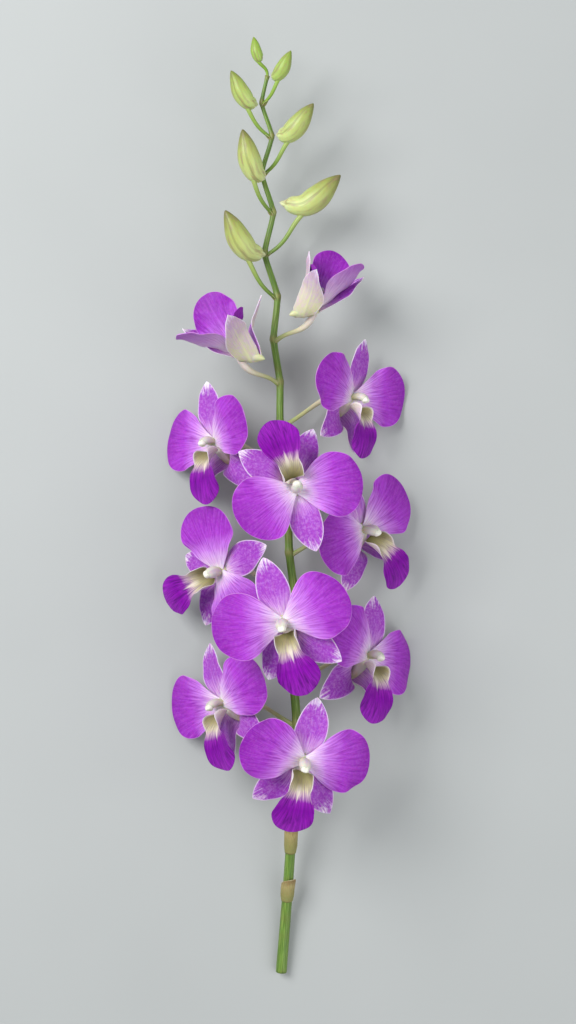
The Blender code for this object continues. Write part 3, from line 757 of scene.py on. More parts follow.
sepal_skin = blade_skin(
    "sepal skin",
    front=[(0.08, "#E6D2E6"), (0.24, "#CA90DA"), (0.44, "#A446C2"), (0.9, "#9934B7")],
    back=[(0.14, "#CFD09E"), (0.36, "#D3CDB4"), (0.62, "#CFC1C0"), (0.95, "#C19EC4")],
    vein="#8A2FA6",
    edge="#F2E6F3",
    edge_mm=0.65,
    rays=15,
    share=0.42,
    tip=0.8,
    ragged=0.5,
    paler=0.34,
    middle={**MIDRIB, "side": 0, "starts": 0.12, "ends": 1.0},
    **SATIN,
)
print(len(sepal_skin.node_tree.nodes), "nodes draw a sepal")

# %% [markdown]
# The lip is the most deeply coloured part, with a velvety surface of taller cells, so it is
# rougher and shines less. Its middle lobe is deep purple with darker veins and a short white wedge
# where it leaves the throat, its throat is cream with a green tinge, and its side lobes have white
# edges. Towards the lip's root the throat turns dark olive: that is painted shade, where the throat
# lies deep under the column.

# %% Lip skin: velvety deep purple over a cream throat, with painted shade at its root
# The throat's cream with a green tinge is its own colour; the dark olive first stops are painted
# shade deep under the column
THROAT_AND_SHADE = [(0.04, "#827E48"), (0.2, "#ADA676"), (0.31, "#D2C9A8"), (0.37, "#CFB4BE")]
LOBE = [(0.47, "#9122A9"), (0.6, "#8404A2"), (1.0, "#9E2CBA")]
WEDGE = {"colour": "#E6DCCB", "half_mm": 1.3, "share": 0.75}

lip_skin = blade_skin(
    "lip skin",
    front=THROAT_AND_SHADE + LOBE,
    back=[(0.15, "#DCD6BE"), (0.36, "#D3B4D3"), (0.46, "#A040B6"), (1.0, "#9430AC")],
    vein="#4E046B",
    edge="#EFE6EA",
    edge_mm=1.2,
    rays=13,
    share=0.78,
    edge_until=0.38,
    ragged=0.1,
    middle={**WEDGE, "side": 1, "starts": 0.34, "ends": 0.53},
    roughness=0.6,
    ior=1.4,
    specular_ior_level=0.15,
    sheen_weight=0.03,
    subsurface_weight=0.05,
    subsurface_scale=0.001,
)
print("the lip turns purple between", THROAT_AND_SHADE[-1][0], "and", LOBE[0][0], "of its length")

# %% [markdown]
# ## Round parts
#
# The column, the chin, the stalks and the buds are round. Each has its own colours along its
# length, so one recipe with a colour ramp serves them. Streaks about 2 mm wide and 11 mm long keep
# the colour from being even. Buds add three seams, where the sepals will part, and finer veins.

# %% One recipe for column, chin, stalks and buds
RAMP_SHARE = 0.8  # a ramp ends at 1, and the noise moves places past it, so all are scaled by this
STREAKS_PER_MM, STREAK_SHIFT = (0.6, 0.6, 0.09), 0.3
YOUNG_GREEN, TINGE_FADE, TINGE_MOST = "#87AE34", 0.2, 0.7
SEAM_FROM, VEIN_FROM = 0.93, 0.7  # the cosines at which seams and veins begin
VEIN_OF_SEAM = 0.5  # a vein's strength as a share of a seam's
ROUND_RELIEF = 0.3 * MM


def round_skin(name, stops, tinge, tinge_from, seam="#7C8038", seam_share=0.0, **shader_values):
    """Colours along the part, moved along by 0.3 times the noise, a tinge in streaks that run
    along it, and seams where cos 3a is near one, with fainter veins where cos 9a is. The blade
    fact's second number is the share of the young colour, a fresh green."""
    material, shader = new_material(name, **shader_values)
    add = partial(add_node, material)
    blade, place, rays = (add("Attribute", output=1, attribute_name=fact) for fact in FACTS)
    u, youth, _ = add("SeparateXYZ", {0: blade}).node.outputs
    three, nine, _ = add("SeparateXYZ", {0: rays}).node.outputs
    drawn_out = add("Mapping", {"Vector": place, "Scale": STREAKS_PER_MM})
    streaks = add("TexNoise", {"Vector": drawn_out, "Scale": 1.0, "Detail": 3.0})
    shifted = add("Math", {0: streaks, 1: STREAK_SHIFT, 2: u}, operation="MULTIPLY_ADD")
    scaled = add("Math", {0: shifted, 1: RAMP_SHARE}, operation="MULTIPLY")
    base = add("ValToRGB", {0: scaled}, stops=[(RAMP_SHARE * at, colour) for at, colour in stops])
    ends = {"From Min": tinge_from, "From Max": tinge_from + TINGE_FADE}
    share = add("MapRange", {"Value": streaks, **ends, "To Max": TINGE_MOST})
    aged = add("Mix", {0: youth, 6: base, 7: linear(YOUNG_GREEN)}, **MIX)
    tinged = add("Mix", {0: share, 6: aged, 7: linear(tinge)}, **MIX)
    seams = add("MapRange", {"Value": three, "From Min": SEAM_FROM, "To Max": seam_share})
    fainter = {"From Min": VEIN_FROM, "To Max": VEIN_OF_SEAM * seam_share}
    veins = add("MapRange", {"Value": nine, **fainter})
    lines = add("Math", {0: seams, 1: veins}, operation="MAXIMUM")
    colour = add("Mix", {0: lines, 6: tinged, 7: linear(seam)}, **MIX)
    relief = add("Math", {0: streaks, 1: lines}, operation="SUBTRACT")
    bump = add("Bump", {"Strength": BUMP_STRENGTH, "Distance": ROUND_RELIEF, "Height": relief})
    feed(shader, {"Base Color": colour, "Normal": bump})
    return material


print(f"a ramp reaches {1 / RAMP_SHARE:.2f} times the length of a round part")

# %% [markdown]
# The column is firm waxy flesh, pale with a green foot, so it shines softly. The cap on its end is
# a thin dry shell, nearly white. The chin is the swollen foot of the flower, grown from the side
# sepals, and keeps the bud's pale green and its seams. Three rows of colours in the one recipe
# are enough to tell them apart.

# %% Column, cap and chin: smooth waxy flesh that lets light in
column_skin = round_skin(
    "column skin",
    [(0.3, "#B4B87C"), (0.6, "#C8CAA2"), (0.9, "#D6D0C8"), (1.2, "#D2D2AE")],
    tinge="#C29CC2",
    tinge_from=0.55,
    roughness=0.5,
    ior=1.38,
    subsurface_weight=0.2,
    subsurface_scale=0.002,
)
cap_skin = round_skin(
    "anther cap skin",
    [(0.2, "#DFDDC0"), (1.0, "#EFEDE0")],
    tinge="#C4A9C4",
    tinge_from=0.6,
    roughness=0.45,
    ior=1.4,
)
chin_skin = round_skin(
    "chin skin",
    [(0.2, "#D0CFA4"), (0.45, "#DAD1BE"), (0.75, "#D6CBC2"), (0.95, "#CDCE9C")],
    tinge="#C6B2B4",
    tinge_from=0.6,
    seam="#B4B483",
    seam_share=0.35,
    roughness=0.45,
    subsurface_weight=0.2,
    subsurface_scale=0.002,
)
print("made", column_skin.name + ",", cap_skin.name, "and", chin_skin.name)

# %% [markdown]
# A flower's stalk has smooth waxy skin that fades from green to the pale pink of the ovary. A
# bud's stalk stays green. A bud is closed sepals, so its skin has their seams and veins, and is
# olive with a brown tip over a pale foot. The skin is as smooth as the stem's, and shines as much.

# %% Stalks and buds: smooth waxy skin, green at the stem
YELLOW_GREENS = [(0.16, "#E6EBBE"), (0.34, "#CCD88C"), (0.7, "#B0BB6A")]
BROWN_TIP = [(0.96, "#939A4C"), (1.12, "#6C6A38")]

stalk_skin = round_skin(
    "stalk skin",
    [(0.15, "#8FA058"), (0.42, "#B9BC84"), (0.75, "#D3CBAE"), (1.1, "#DDCFCA")],
    tinge="#B29A9A",
    tinge_from=0.6,
    roughness=0.45,
    subsurface_weight=0.15,
    subsurface_scale=0.0015,
)
bud_stalk_skin = round_skin(
    "bud stalk skin",
    [(0.15, "#5F7F2C"), (0.6, "#7F9A42"), (1.1, "#A9B86A")],
    tinge="#7C7A48",
    tinge_from=0.6,
    roughness=0.42,
    subsurface_weight=0.1,
    subsurface_scale=0.0015,
)
bud_skin = round_skin(
    "bud skin",
    YELLOW_GREENS + BROWN_TIP,
    tinge="#9C8568",
    tinge_from=0.5,
    seam="#75703E",
    seam_share=0.75,
    roughness=0.42,
    subsurface_weight=0.15,
    subsurface_scale=0.002,
)
print(len(bud_skin.node_tree.nodes), "nodes draw a bud")

# %% [markdown]
# Sheaths and scales are leaves that have dried to thin brown paper on the stem. Dry paper is dull
# and scatters light, so the skin is rough, with fibres along it and a paler edge. The fibres are
# drawn some 0.7 mm apart, about twice as far as the real ones, so that they show. The recipe for
# petals does it: its veins are a leaf's fibres too.

# %% Scale skin: dry papery leaf with lengthwise fibres
scale_skin = blade_skin(
    "scale skin",
    front=[(0.3, "#8F8C52"), (0.7, "#A99B66"), (1.2, "#8A7048")],
    back=[(0.3, "#83874A"), (0.7, "#A5986A"), (1.2, "#7E6844")],
    vein="#6E6038",
    edge="#C9BD94",
    edge_mm=0.4,
    rays=16,
    share=0.5,
    roughness=0.7,
    ior=1.45,
    subsurface_weight=0.1,
    subsurface_scale=0.001,
)
print(len(bpy.data.materials), "materials so far")

# %% [markdown]
# ## The stem
#
# The fine stem has a ring every 1.2 mm and a knot at each node, where a real stem is swollen and
# scarred. Under each stalk it carries a small dry scale, the leaf from whose corner the stalk
# grew. A bump could hint at the knots, but they show in the outline, so they are in the mesh.

# %% The way each stalk leaves the stem
BACK = np.array([0, 1.5, -5.8]) * MM  # where the stalk meets a flower, in the flower's own frame


def turned(x_degrees, y_degrees, z_degrees):
    """The matrix that rolls about the face, then nods about X, then leans about Y."""
    x, y, z = (math.radians(a) for a in (x_degrees, y_degrees, z_degrees))
    roll = np.array([[math.cos(z), -math.sin(z), 0], [math.sin(z), math.cos(z), 0], [0, 0, 1]])
    nod = np.array([[1, 0, 0], [0, math.cos(x), -math.sin(x)], [0, math.sin(x), math.cos(x)]])
    lean = np.array([[math.cos(y), 0, math.sin(y)], [0, 1, 0], [-math.sin(y), 0, math.cos(y)]])
    return lean @ nod @ roll


def stalk_side(index):
    """The direction, straight out from the stem, in which stalk number index leaves it."""
    if index < len(FLOWERS):
        facts = FLOWERS[index]
        matrix = turned(facts["nod"], facts["lean"], facts["roll"])
        back = np.array(facts["offset"]) * MM + facts["size"] * matrix @ BACK
        return unit(np.array([back[0], 0, back[2]]))
    facts = BUDS[index - len(FLOWERS)]
    above = math.radians(facts["above"])
    return np.array([facts["side"] * math.cos(above), 0, math.sin(above)])


print("the first stalk leaves the stem along", stalk_side(0).round(2))

# %% A scale under a stalk
SCALE_LEAF = {"length": 4.6 * MM, "widest": 1.3 * MM, "claw": 0.7, "peak": 0.3, "point": 0.9}
SCALE_SLOPES, SCALE_CURL = (-0.25, 0.5), 350  # in radians, and in radians to the metre
SCALE_ROOT, ROOT_SHARE, SCALE_THICKNESS = np.array([0, 2.0, 0]) * MM, 0.75, 0.25 * MM
SCALE_LEAN, SCALE_GRID = np.array([0, 0.9, 0]), (12, 9)


def scale_leaf(index):
    """A scale on the cut-end side of a stalk, rooted in the stem and hollowed towards the stalk."""
    outward = stalk_side(index)
    out = unit(outward + SCALE_LEAN)
    left = np.cross(outward, [0, 1.0, 0])
    axes = (out, left, np.cross(out, left))
    root = PLACES[index] + outward * (stem_radius(NODES[index]) * ROOT_SHARE) - SCALE_ROOT
    half = lambda u: half_width(u, SCALE_LEAF)
    surface = arched_strip(SCALE_LEAF["length"], half, root, axes, *SCALE_SLOPES, SCALE_CURL)
    flat = lambda u, v, s: 0 * u
    sizes = SCALE_LEAF["length"], SCALE_GRID, SCALE_THICKNESS
    return fine_blade(surface, half, *sizes, flat, index, finish=2)


print("a scale has", len(scale_leaf(0)["quads"]), "squares")

# %% Stem with its scales
RING_STEP, STEM_SIDES, KNOT_WIDTH, KNOT_PALENESS = 1.2 * MM, 24, 1.6 * MM, 0.55
STEM_RIBS, RIB_SHARE = 8, 0.018
INSIDE_SOLID, LAST_RING = 0.985, 0.6
DISC_DEPTHS = np.array([-0.06, -0.04, 0.02, 0.3]) * MM
DISC_SHARES = np.array([0.1, 0.6, 0.93, 0.97])


def make_stem():
    """Rings every 1.2 mm on the smooth line, swollen near each node by a bell curve 1.6 mm wide,
    with eight faint ribs. A short stack of small rings closes the cut end."""
    length = LINE[0][-1]
    stations = np.append(np.arange(0, length, RING_STEP), length)
    away = np.abs(stations[:, None] - NODES).min(axis=1)
    knot = np.exp(-((away / KNOT_WIDTH) ** 2))
    path = stem_path(stations)
    radii = (stem_radius(stations) + NODE_SWELLING * knot) * INSIDE_SOLID
    radii[-1] *= LAST_RING
    ribs = 1 + RIB_SHARE * np.cos(STEM_RIBS * ring_angles(STEM_SIDES))
    skin = round_sleeve(path, radii, STEM_SIDES, knot[:, None] * KNOT_PALENESS, 0, ribs)
    disc_path = path[0] + unit(path[1] - path[0]) * DISC_DEPTHS[:, None]
    disc = round_sleeve(disc_path, radii[0] * DISC_SHARES, STEM_SIDES, finish=1)
    leaves = [scale_leaf(index) for index in range(len(NODES) - 1)]
    materials = [stem_skin, cut_pith, scale_skin]
    return make_piece("stem_skin", [skin, disc, *leaves], materials, "stem")


stem = make_stem()
print(stem.name, len(stem.data.polygons), "squares")

# %% [markdown]
# Three papery sheaths wrap the bare stem. Each hugs it at its foot and stands a little off it at
# its tip, and is open on its far side. It is the same blade as a petal, but its surface lies round
# the stem instead of along an arc. Start is its distance from the cut end, and towards is the
# direction that its middle faces, in degrees round the stem.

# %% Sheaths
SHEATHS = [
    {"start": 37 * MM, "length": 12 * MM, "towards": 60},
    {"start": 62 * MM, "length": 14 * MM, "towards": 110},
    {"start": 86 * MM, "length": 13 * MM, "towards": 75},
]
SHEATH_RADIUS, SHEATH_THICKNESS, SHEATH_WRAP = 3.3 * MM, 0.35 * MM, math.radians(150)
FOOT_GAP, MOUTH_GAP, TIP_FLARE, FRAY = 0.15 * MM, 0.5 * MM, 0.35 * MM, 0.12 * MM
MOUTH_AT = 0.25  # the share of the length over which the gap opens
FRAY_ACROSS, FRAY_ALONG = 9, 5  # in radians, across and along the sheath
LAP = 0.12  # in radians: how much further one margin reaches round than the other
SHEATH_GRID, FIRST_SHEATH_SEED = (30, 41), 40


def make_sheath(index, facts):
    """The strip lies at radius r(u) round the stem. Its half angle is 150 degrees at the foot and
    closes along an ellipse, so that the tip is a rounded point."""

    def surface(u, v):
        distance = facts["start"] + facts["length"] * u
        middle = stem_path(distance)
        along = unit(stem_path(distance + SMALL_STEP) - middle)
        across = unit(np.cross(along, [0, 0, 1.0]))
        upward = np.cross(across, along)
        angle = math.radians(facts["towards"]) + v * half(u) / SHEATH_RADIUS + LAP * v
        gap = FOOT_GAP + MOUTH_GAP * np.clip(u / MOUTH_AT, 0, 1) + TIP_FLARE * u**2
        radius = stem_radius(distance) + gap
        sideways, up = radius * np.cos(angle), radius * np.sin(angle)
        return middle + sideways[..., None] * across + up[..., None] * upward

    half = lambda u: SHEATH_RADIUS * SHEATH_WRAP * np.sqrt(1 - np.clip(u, 0, 1) ** 2)
    frayed = lambda u, v, s: FRAY * u * np.sin(FRAY_ACROSS * s + FRAY_ALONG * u + index)
    sizes = facts["length"], SHEATH_GRID, SHEATH_THICKNESS
    blade = fine_blade(surface, half, *sizes, frayed, index + FIRST_SHEATH_SEED)
    name = f"sheath_{index + 1}"
    return make_piece(name + "_paper", [blade], [scale_skin], name)


sheaths = [make_sheath(index, facts) for index, facts in enumerate(SHEATHS)]
print(len(sheaths), "sheaths")

# %% [markdown]
# ## Flowers
#
# Each flower has three sepals behind, two broad petals in front of them and the lip below. The
# petals are waved: a slow wave along the margin that dies out towards the midline, and a shallow
# groove down the middle. Each flower's own small unevenness keeps two flowers from being alike, so
# one set of numbers makes all eleven, open or half shut. The chin is a round sleeve behind them.

# %% Smooth round parts with blunt ends
NEAR_START, NEAR_END = [0, 0.003, 0.01, 0.022], [0.965, 0.985, 0.996, 1]
SMOOTH_STEPS = np.concatenate([NEAR_START, np.linspace(0.04, 0.94, 32), NEAR_END])
LEAST_END = 0.01  # keeps a last ring from shrinking to a point


def blunt(from_end, share):
    """How much a round part narrows near its end, as the end of a ball: the square root of
    1 - (1 - x) squared, where x is the distance from the end over the rounded share."""
    return np.sqrt(1 - (1 - np.clip(from_end / share, LEAST_END, 1)) ** 2)


def smooth_round(line, radii, sides, rounded, **more):
    """A round sleeve along a smooth curve through a line's points. Its radii are read along it
    in the same way, and its far end is blunt over this share."""
    places, t = range(len(line)), (len(line) - 1) * SMOOTH_STEPS
    narrowed = through(places, radii, t) * blunt(1 - SMOOTH_STEPS, rounded)
    return round_sleeve(through(places, line, t), narrowed, sides, **more)


print(f"a quarter into a blunt end a part has {blunt(0.25, 1):.0%} of its radius")

# %% Outlines and the chin
PETAL = {"length": 32.5 * MM, "widest": 15.6 * MM, "claw": 0.15, "peak": 0.6, "point": 0.5}
SEPAL = {"length": 30 * MM, "widest": 7.8 * MM, "claw": 0.42, "peak": 0.46, "point": 0.8}
SIDE_SEPAL = {"length": 29 * MM, "widest": 7.8 * MM, "claw": 0.6, "peak": 0.4, "point": 0.8}
CHIN_LINE = [[0, 3.4, 0.2], [0, 0, -1.4], [0, -4.4, -3.6], [0, -8.2, -6.4], [0, -11, -9]]
CHIN_LINE = np.array(CHIN_LINE) * MM
CHIN_RADII, CHIN_SIDES, CHIN_END = np.array([1.4, 3.0, 3.0, 2.1, 0.7]) * MM, 24, 0.12
BLADE_THICKNESS = 0.55 * MM
print(f"a petal is {PETAL['length'] / MM} mm long and {2 * PETAL['widest'] / MM} mm wide")

# %% Waves of margins
GROOVE_DEPTH, GROOVE_WIDTH = 0.35 * MM, 0.09
WAVES_START, WAVES_END = 0.35, 0.15  # over what shares of the length they grow and fade
SIDE_LAG, WANDER, WANDER_TURNS = 1.1, 0.8, 9  # in radians, so that no margin is even
SLOW_SHARE = 0.6  # the slow wave's height beside the margin's
SLOW_ACROSS, SLOW_ALONG = 3.4, 4  # how far it turns across and along the blade, in radians
SLOW_START, SLOW_POWER = 0.5, 1.5  # it grows over half the length, by this power


def margin_waves(height, count, phase):
    """A wave of this height at the margin, faded by the cube of v and towards the tip, a slow one
    over the whole blade, and a groove along the midline with the shape of a bell curve."""

    def lift(u, v, s):
        wander = SIDE_LAG * np.sign(v) + WANDER * np.sin(WANDER_TURNS * u + 2 * phase)
        along = np.sin(2 * math.pi * count * u + phase + wander)
        grown = np.abs(v) ** 3 * np.clip(u / WAVES_START, 0, 1)
        fade = grown * np.clip((1 - u) / WAVES_END, 0, 1)
        slow = SLOW_SHARE * np.sin(SLOW_ACROSS * s + SLOW_ALONG * u + 2 * phase)
        slow = slow * np.clip(u / SLOW_START, 0, 1) ** SLOW_POWER
        groove = GROOVE_DEPTH * np.exp(-((v / GROOVE_WIDTH) ** 2)) * (1 - u)
        return height * (along * fade + slow) - groove

    return lift


print(f"a petal's groove is {GROOVE_DEPTH / MM:.2f} mm deep")

# %% [markdown]
# The side sepals run down into the chin, a blunt spur behind the lip. They could end at its side,
# but then the spur looks stuck on. Here the foot of each one is bent round its half of the chin.

# %% Side sepals drawn to the chin
CHIN_REACH, MIDDLE_STOP = 4.4 * MM, 0.9 * MM
CHIN_TIP, CHIN_FADE = 18 * MM, 7 * MM
FAR_SIDE = 1.25  # how far behind the chin's line its far side lies, in its radii
BEND_START, BEND_FALL = 1.7, 4  # the bend's share at u is 1.7 - 4 u, but never above 1


def drawn_to_chin(surface, side):
    """A side sepal's surface, bent back to wrap its half of the chin: near the middle plane, by a
    bell curve of x, it goes down to the chin's far side, and its inner margin stops at that
    plane, by the smooth step (x + root(x squared + 0.9 squared)) / 2."""

    def bent(u, v):
        points = surface(u, v)
        x, y, z = side * points[..., 0], points[..., 1], points[..., 2]
        far_side = np.interp(-y, -CHIN_LINE[:, 1], CHIN_LINE[:, 2] - FAR_SIDE * CHIN_RADII)
        ends = np.clip((y + CHIN_TIP) / CHIN_FADE, 0, 1)
        bell = np.exp(-((x / CHIN_REACH) ** 2))
        near = bell * ends**2 * (3 - 2 * ends) * np.clip(BEND_START - BEND_FALL * u, 0, 1)
        stopped = (x + np.sqrt(x**2 + MIDDLE_STOP**2)) / 2
        return np.stack([side * stopped, y, z + near * (far_side - z)], axis=-1)

    return bent


print(f"a side sepal stops {MIDDLE_STOP / 2 / MM} mm from the flower's middle plane")

# %% [markdown]
# Each kind of petal or sepal is one row of numbers. Its angles are the direction in which it
# grows round the face, its slopes at root and tip, in degrees, and its roll across, to the metre.
# Each has a middle value, a spread from flower to flower, how much it changes when the flower is
# shut, and the number of its unevenness. Waves are their height in millimetres and their count.

# %% Petals and sepals in numbers
TEPAL_KINDS = {
    "petal": {
        "outline": PETAL,
        "root": (0, 0.2, 0.9),
        "angles": ((12, 6, 20, 0), (20, 6, 64, 5), (-16, 12, 118, 7), (-5, 6, 55, 9)),
        "shift": 2.4,
        "waves": (0.8, 2.3),
        "grid": (46, 31),
        "finish": 0,
    },
    "top": {
        "outline": SEPAL,
        "root": (0, 0.8, -0.6),
        "angles": ((90, 4, 0, 2), (10, 5, 70, 13), (-18, 10, 108, 14), (10, 12, 40, 15)),
        "shift": 2.0,
        "waves": (0.45, 1.6),
        "grid": (40, 23),
        "finish": 1,
    },
}
TEPAL_KINDS["side"] = {
    **TEPAL_KINDS["top"],
    "outline": SIDE_SEPAL,
    "root": (0, -2.6, -2.2),
    "angles": ((-50, -5, 0, 3), (2, 5, 75, 17), (-12, 10, 100, 19), (16, 12, 30, 21)),
}
TEPALS = ("petal", 0), ("petal", 1), ("top", 0), ("side", 0), ("side", 1)
print("a flower has", len(TEPALS), "petals and sepals, of", len(TEPAL_KINDS), "kinds")

# %% Unevenness and twist
FLOWER_STRIDE, PART_STRIDE = 12.9898, 78.233  # large and unround, so that the sines look random
PETAL_TWIST, TOP_TWIST, SIDE_TWIST, SIDE_SHUT_TWIST = 8, 6, 12, 26  # in degrees
PETAL_TWIST_PART, TOP_TWIST_PART = 11, 16  # the numbers of their unevenness


def uneven(flower, part):
    """A small steady unevenness from -1 to 1: the sine of a large mixed number."""
    return math.sin(FLOWER_STRIDE * (flower + 1) + PART_STRIDE * (part + 1))


def tepal_twist(kind, mirrored, flower, opening):
    """How many degrees a petal or sepal twists along its length."""
    if kind == "petal":
        return PETAL_TWIST * uneven(flower, PETAL_TWIST_PART + mirrored) * opening
    if kind == "top":
        return TOP_TWIST * uneven(flower, TOP_TWIST_PART)
    twist = SIDE_TWIST * opening + SIDE_SHUT_TWIST * (1 - opening)
    return twist * (1 if mirrored else -1)


twists = [round(tepal_twist("petal", 0, flower, 1)) for flower in range(len(FLOWERS))]
print("the left petals twist by", twists, "degrees")

# %% One petal or sepal
SHUT_NARROWING, SHUT_POINT = 0.4, 0.4
WOBBLE_STEP, WAVE_STEP = 1.7, 2.3  # in radians from one blade to the next
ALMOST_FLAT = 1e-6  # keeps a roll from being nothing


def tepal(flower, opening, number, kind, mirrored):
    """One petal or sepal in its flower's own frame. Shutting narrows petals, sharpens sepals, and
    raises and hollows them all round the flower's axis."""
    facts, shut, seed = TEPAL_KINDS[kind], 1 - opening, flower * len(TEPALS) + number
    outline = dict(facts["outline"])
    if kind == "petal":
        outline["widest"] = outline["widest"] * (1 - SHUT_NARROWING * shut)
    else:
        outline["point"] = outline["point"] + SHUT_POINT * shut
    angle, start, end, curl = (
        middle + spread * uneven(flower, part + mirrored) + change * shut
        for middle, spread, change, part in facts["angles"]
    )
    angle, start, end = (math.radians(degrees) for degrees in (angle, start, end))
    angle = math.pi - angle if mirrored else angle
    out, left = (math.cos(angle), math.sin(angle), 0), (-math.sin(angle), math.cos(angle), 0)
    half = lambda u: half_width(u, outline)
    surface = arched_strip(
        outline["length"],
        half,
        np.array(facts["root"]) * MM,
        (out, left, (0, 0, 1)),
        start,
        end,
        curl=curl + ALMOST_FLAT,
        twist=math.radians(tepal_twist(kind, mirrored, flower, opening)),
        shift=facts["shift"] * shut * MM,
        wobble=1 + WOBBLE_STEP * seed,
    )
    if kind == "side":
        surface = drawn_to_chin(surface, -1 if mirrored else 1)
    height, count = facts["waves"]
    waves = margin_waves(height * MM, count, WAVE_STEP * seed)
    sizes = outline["length"], facts["grid"], BLADE_THICKNESS
    return fine_blade(surface, half, *sizes, waves, seed, facts["finish"])


first = tepal(0, 1.0, 0, "petal", 0)["points"] / MM
print("the first petal reaches", np.ptp(first, axis=0).round(1), "mm")

# %% The petals, sepals and chin of one flower


def flower_tepals(flower, opening):
    """Two petals, the top sepal, two side sepals and the chin behind them."""
    made = [tepal(flower, opening, number, *each) for number, each in enumerate(TEPALS)]
    return [*made, smooth_round(CHIN_LINE, CHIN_RADII, CHIN_SIDES, CHIN_END, finish=2)]


print("their squares:", [len(s["quads"]) for s in flower_tepals(0, 1.0)])

# %% [markdown]
# The lip starts as a narrow claw. Its side lobes roll up round the column, and its middle lobe
# spreads and turns down, with a softly waved margin and a round tip. Three low ridges run down
# its throat, as insects find them. It is one strip too, whose width and roll change along it.

# %% Ruffle, ridges, fold and slow wave of the lip
RUFFLE_HEIGHT, RIDGE_HEIGHT, FOLD_DEPTH, SLOW_HEIGHT = np.array([0.45, 0.25, 0.5, 0.5]) * MM
RUFFLE_TURNS, RUFFLE_LAG = 16, 1.4  # in radians: along the margin, and between its two sides
LIP_TURNS_ACROSS, LIP_TURNS_ALONG = 3, 5  # in radians, of the slow wave
RUFFLE_STEP, SLOW_STEP = 2.1, 1.3  # in radians from one flower to the next
RIDGE_PLACES, RIDGE_WIDTH, FOLD_WIDTH = (-0.14, 0, 0.14), 0.05, 0.1
LOBE_START, LOBE_RISE, LOBE_FADE = 0.38, 0.2, 0.12
THROAT_RISE, THROAT_END, THROAT_FADE = 0.12, 0.5, 0.2


def lip_waves(flower):
    """A sine at the middle lobe's margin, three ridges in the throat and a fold down the middle
    of the lobe, bell curves in v, and a slow sine over it."""

    def waves(u, v, s):
        lobe = np.clip((u - LOBE_START) / LOBE_RISE, 0, 1)
        turning = np.sin(RUFFLE_TURNS * u + RUFFLE_STEP * flower + RUFFLE_LAG * np.sign(v))
        ruffle = RUFFLE_HEIGHT * turning * np.abs(v) ** 3 * lobe
        ruffle = ruffle * np.clip((1 - u) / LOBE_FADE, 0, 1)
        throat = np.clip(u / THROAT_RISE, 0, 1) * np.clip((THROAT_END - u) / THROAT_FADE, 0, 1)
        ridges = sum(np.exp(-(((v - place) / RIDGE_WIDTH) ** 2)) for place in RIDGE_PLACES)
        fold = -FOLD_DEPTH * np.exp(-((v / FOLD_WIDTH) ** 2)) * lobe * (1 - u)
        turning = np.sin(LIP_TURNS_ACROSS * s + LIP_TURNS_ALONG * u + SLOW_STEP * flower)
        slow = SLOW_HEIGHT * turning * lobe
        return ruffle + RIDGE_HEIGHT * ridges * throat + fold + slow

    return waves


print(f"the lip's margin waves by {RUFFLE_HEIGHT / MM:.2f} mm")

# %% Lip
LIP_STATIONS = np.array([0, 0.107, 0.23, 0.365, 0.5, 0.7, 0.89, 1.0])
LIP_HALF_WIDTHS = np.array([2.6, 7.2, 9.4, 6.2, 8.2, 9.9, 9.9, 9.9]) * MM
LIP_CURLS = np.array([0.2, 0.2, 0.2, 0.17, 0.06, 0.0, -0.03, -0.03]) / MM
LIP_ROUNDED_FROM, LIP_ROUNDING = 0.66, (2.2, 0.55)
ALMOST_SHUT, LIP_GRID = 0.999, (52, 41)  # the tip stops just short of a point
LIP_LENGTH, LIP_ROOT = 31.5 * MM, np.array([0, -4.8, 1.2]) * MM
LIP_SLOPES, LIP_SHUT_SLOPES = (math.radians(62), math.radians(-26)), (0.55, 1.9)
LIP_THICKNESS, LIP_SHRINKING, FIRST_LIP_SEED = 0.5 * MM, 0.5, 70


def flower_lip(flower, opening):
    """The lip's strip runs down from its root, and its middle lobe closes along a curve close to
    an ellipse. In a half-open flower it is smaller and turned up."""
    shut = 1 - opening
    size = 1 - LIP_SHRINKING * shut
    bend, power = LIP_ROUNDING
    near = lambda u: np.clip(u, 0, 1)
    past = lambda u: np.clip((u - LIP_ROUNDED_FROM) / (1 - LIP_ROUNDED_FROM), 0, ALMOST_SHUT)
    closing = lambda u: (1 - past(u) ** bend) ** power
    half = lambda u: through(LIP_STATIONS, LIP_HALF_WIDTHS, near(u)) * closing(u) * size
    curl = lambda u: through(LIP_STATIONS, LIP_CURLS, near(u)) / size
    axes = ((0, -1, 0), (1, 0, 0), (0, 0, 1))
    slopes = (slope + change * shut for slope, change in zip(LIP_SLOPES, LIP_SHUT_SLOPES))
    surface = arched_strip(LIP_LENGTH * size, half, LIP_ROOT, axes, *slopes, curl)
    sizes = LIP_LENGTH * size, LIP_GRID, LIP_THICKNESS
    return fine_blade(surface, half, *sizes, lip_waves(flower), flower + FIRST_LIP_SEED)


print("a lip has", len(flower_lip(0, 1.0)["quads"]), "squares")

# %% [markdown]
# The column is the short thick pillar above the lip that carries the pollen, under a small white
# cap at its end. It is hollow on the side that faces the lip. Both are round sleeves whose shape
# changes round the ring.

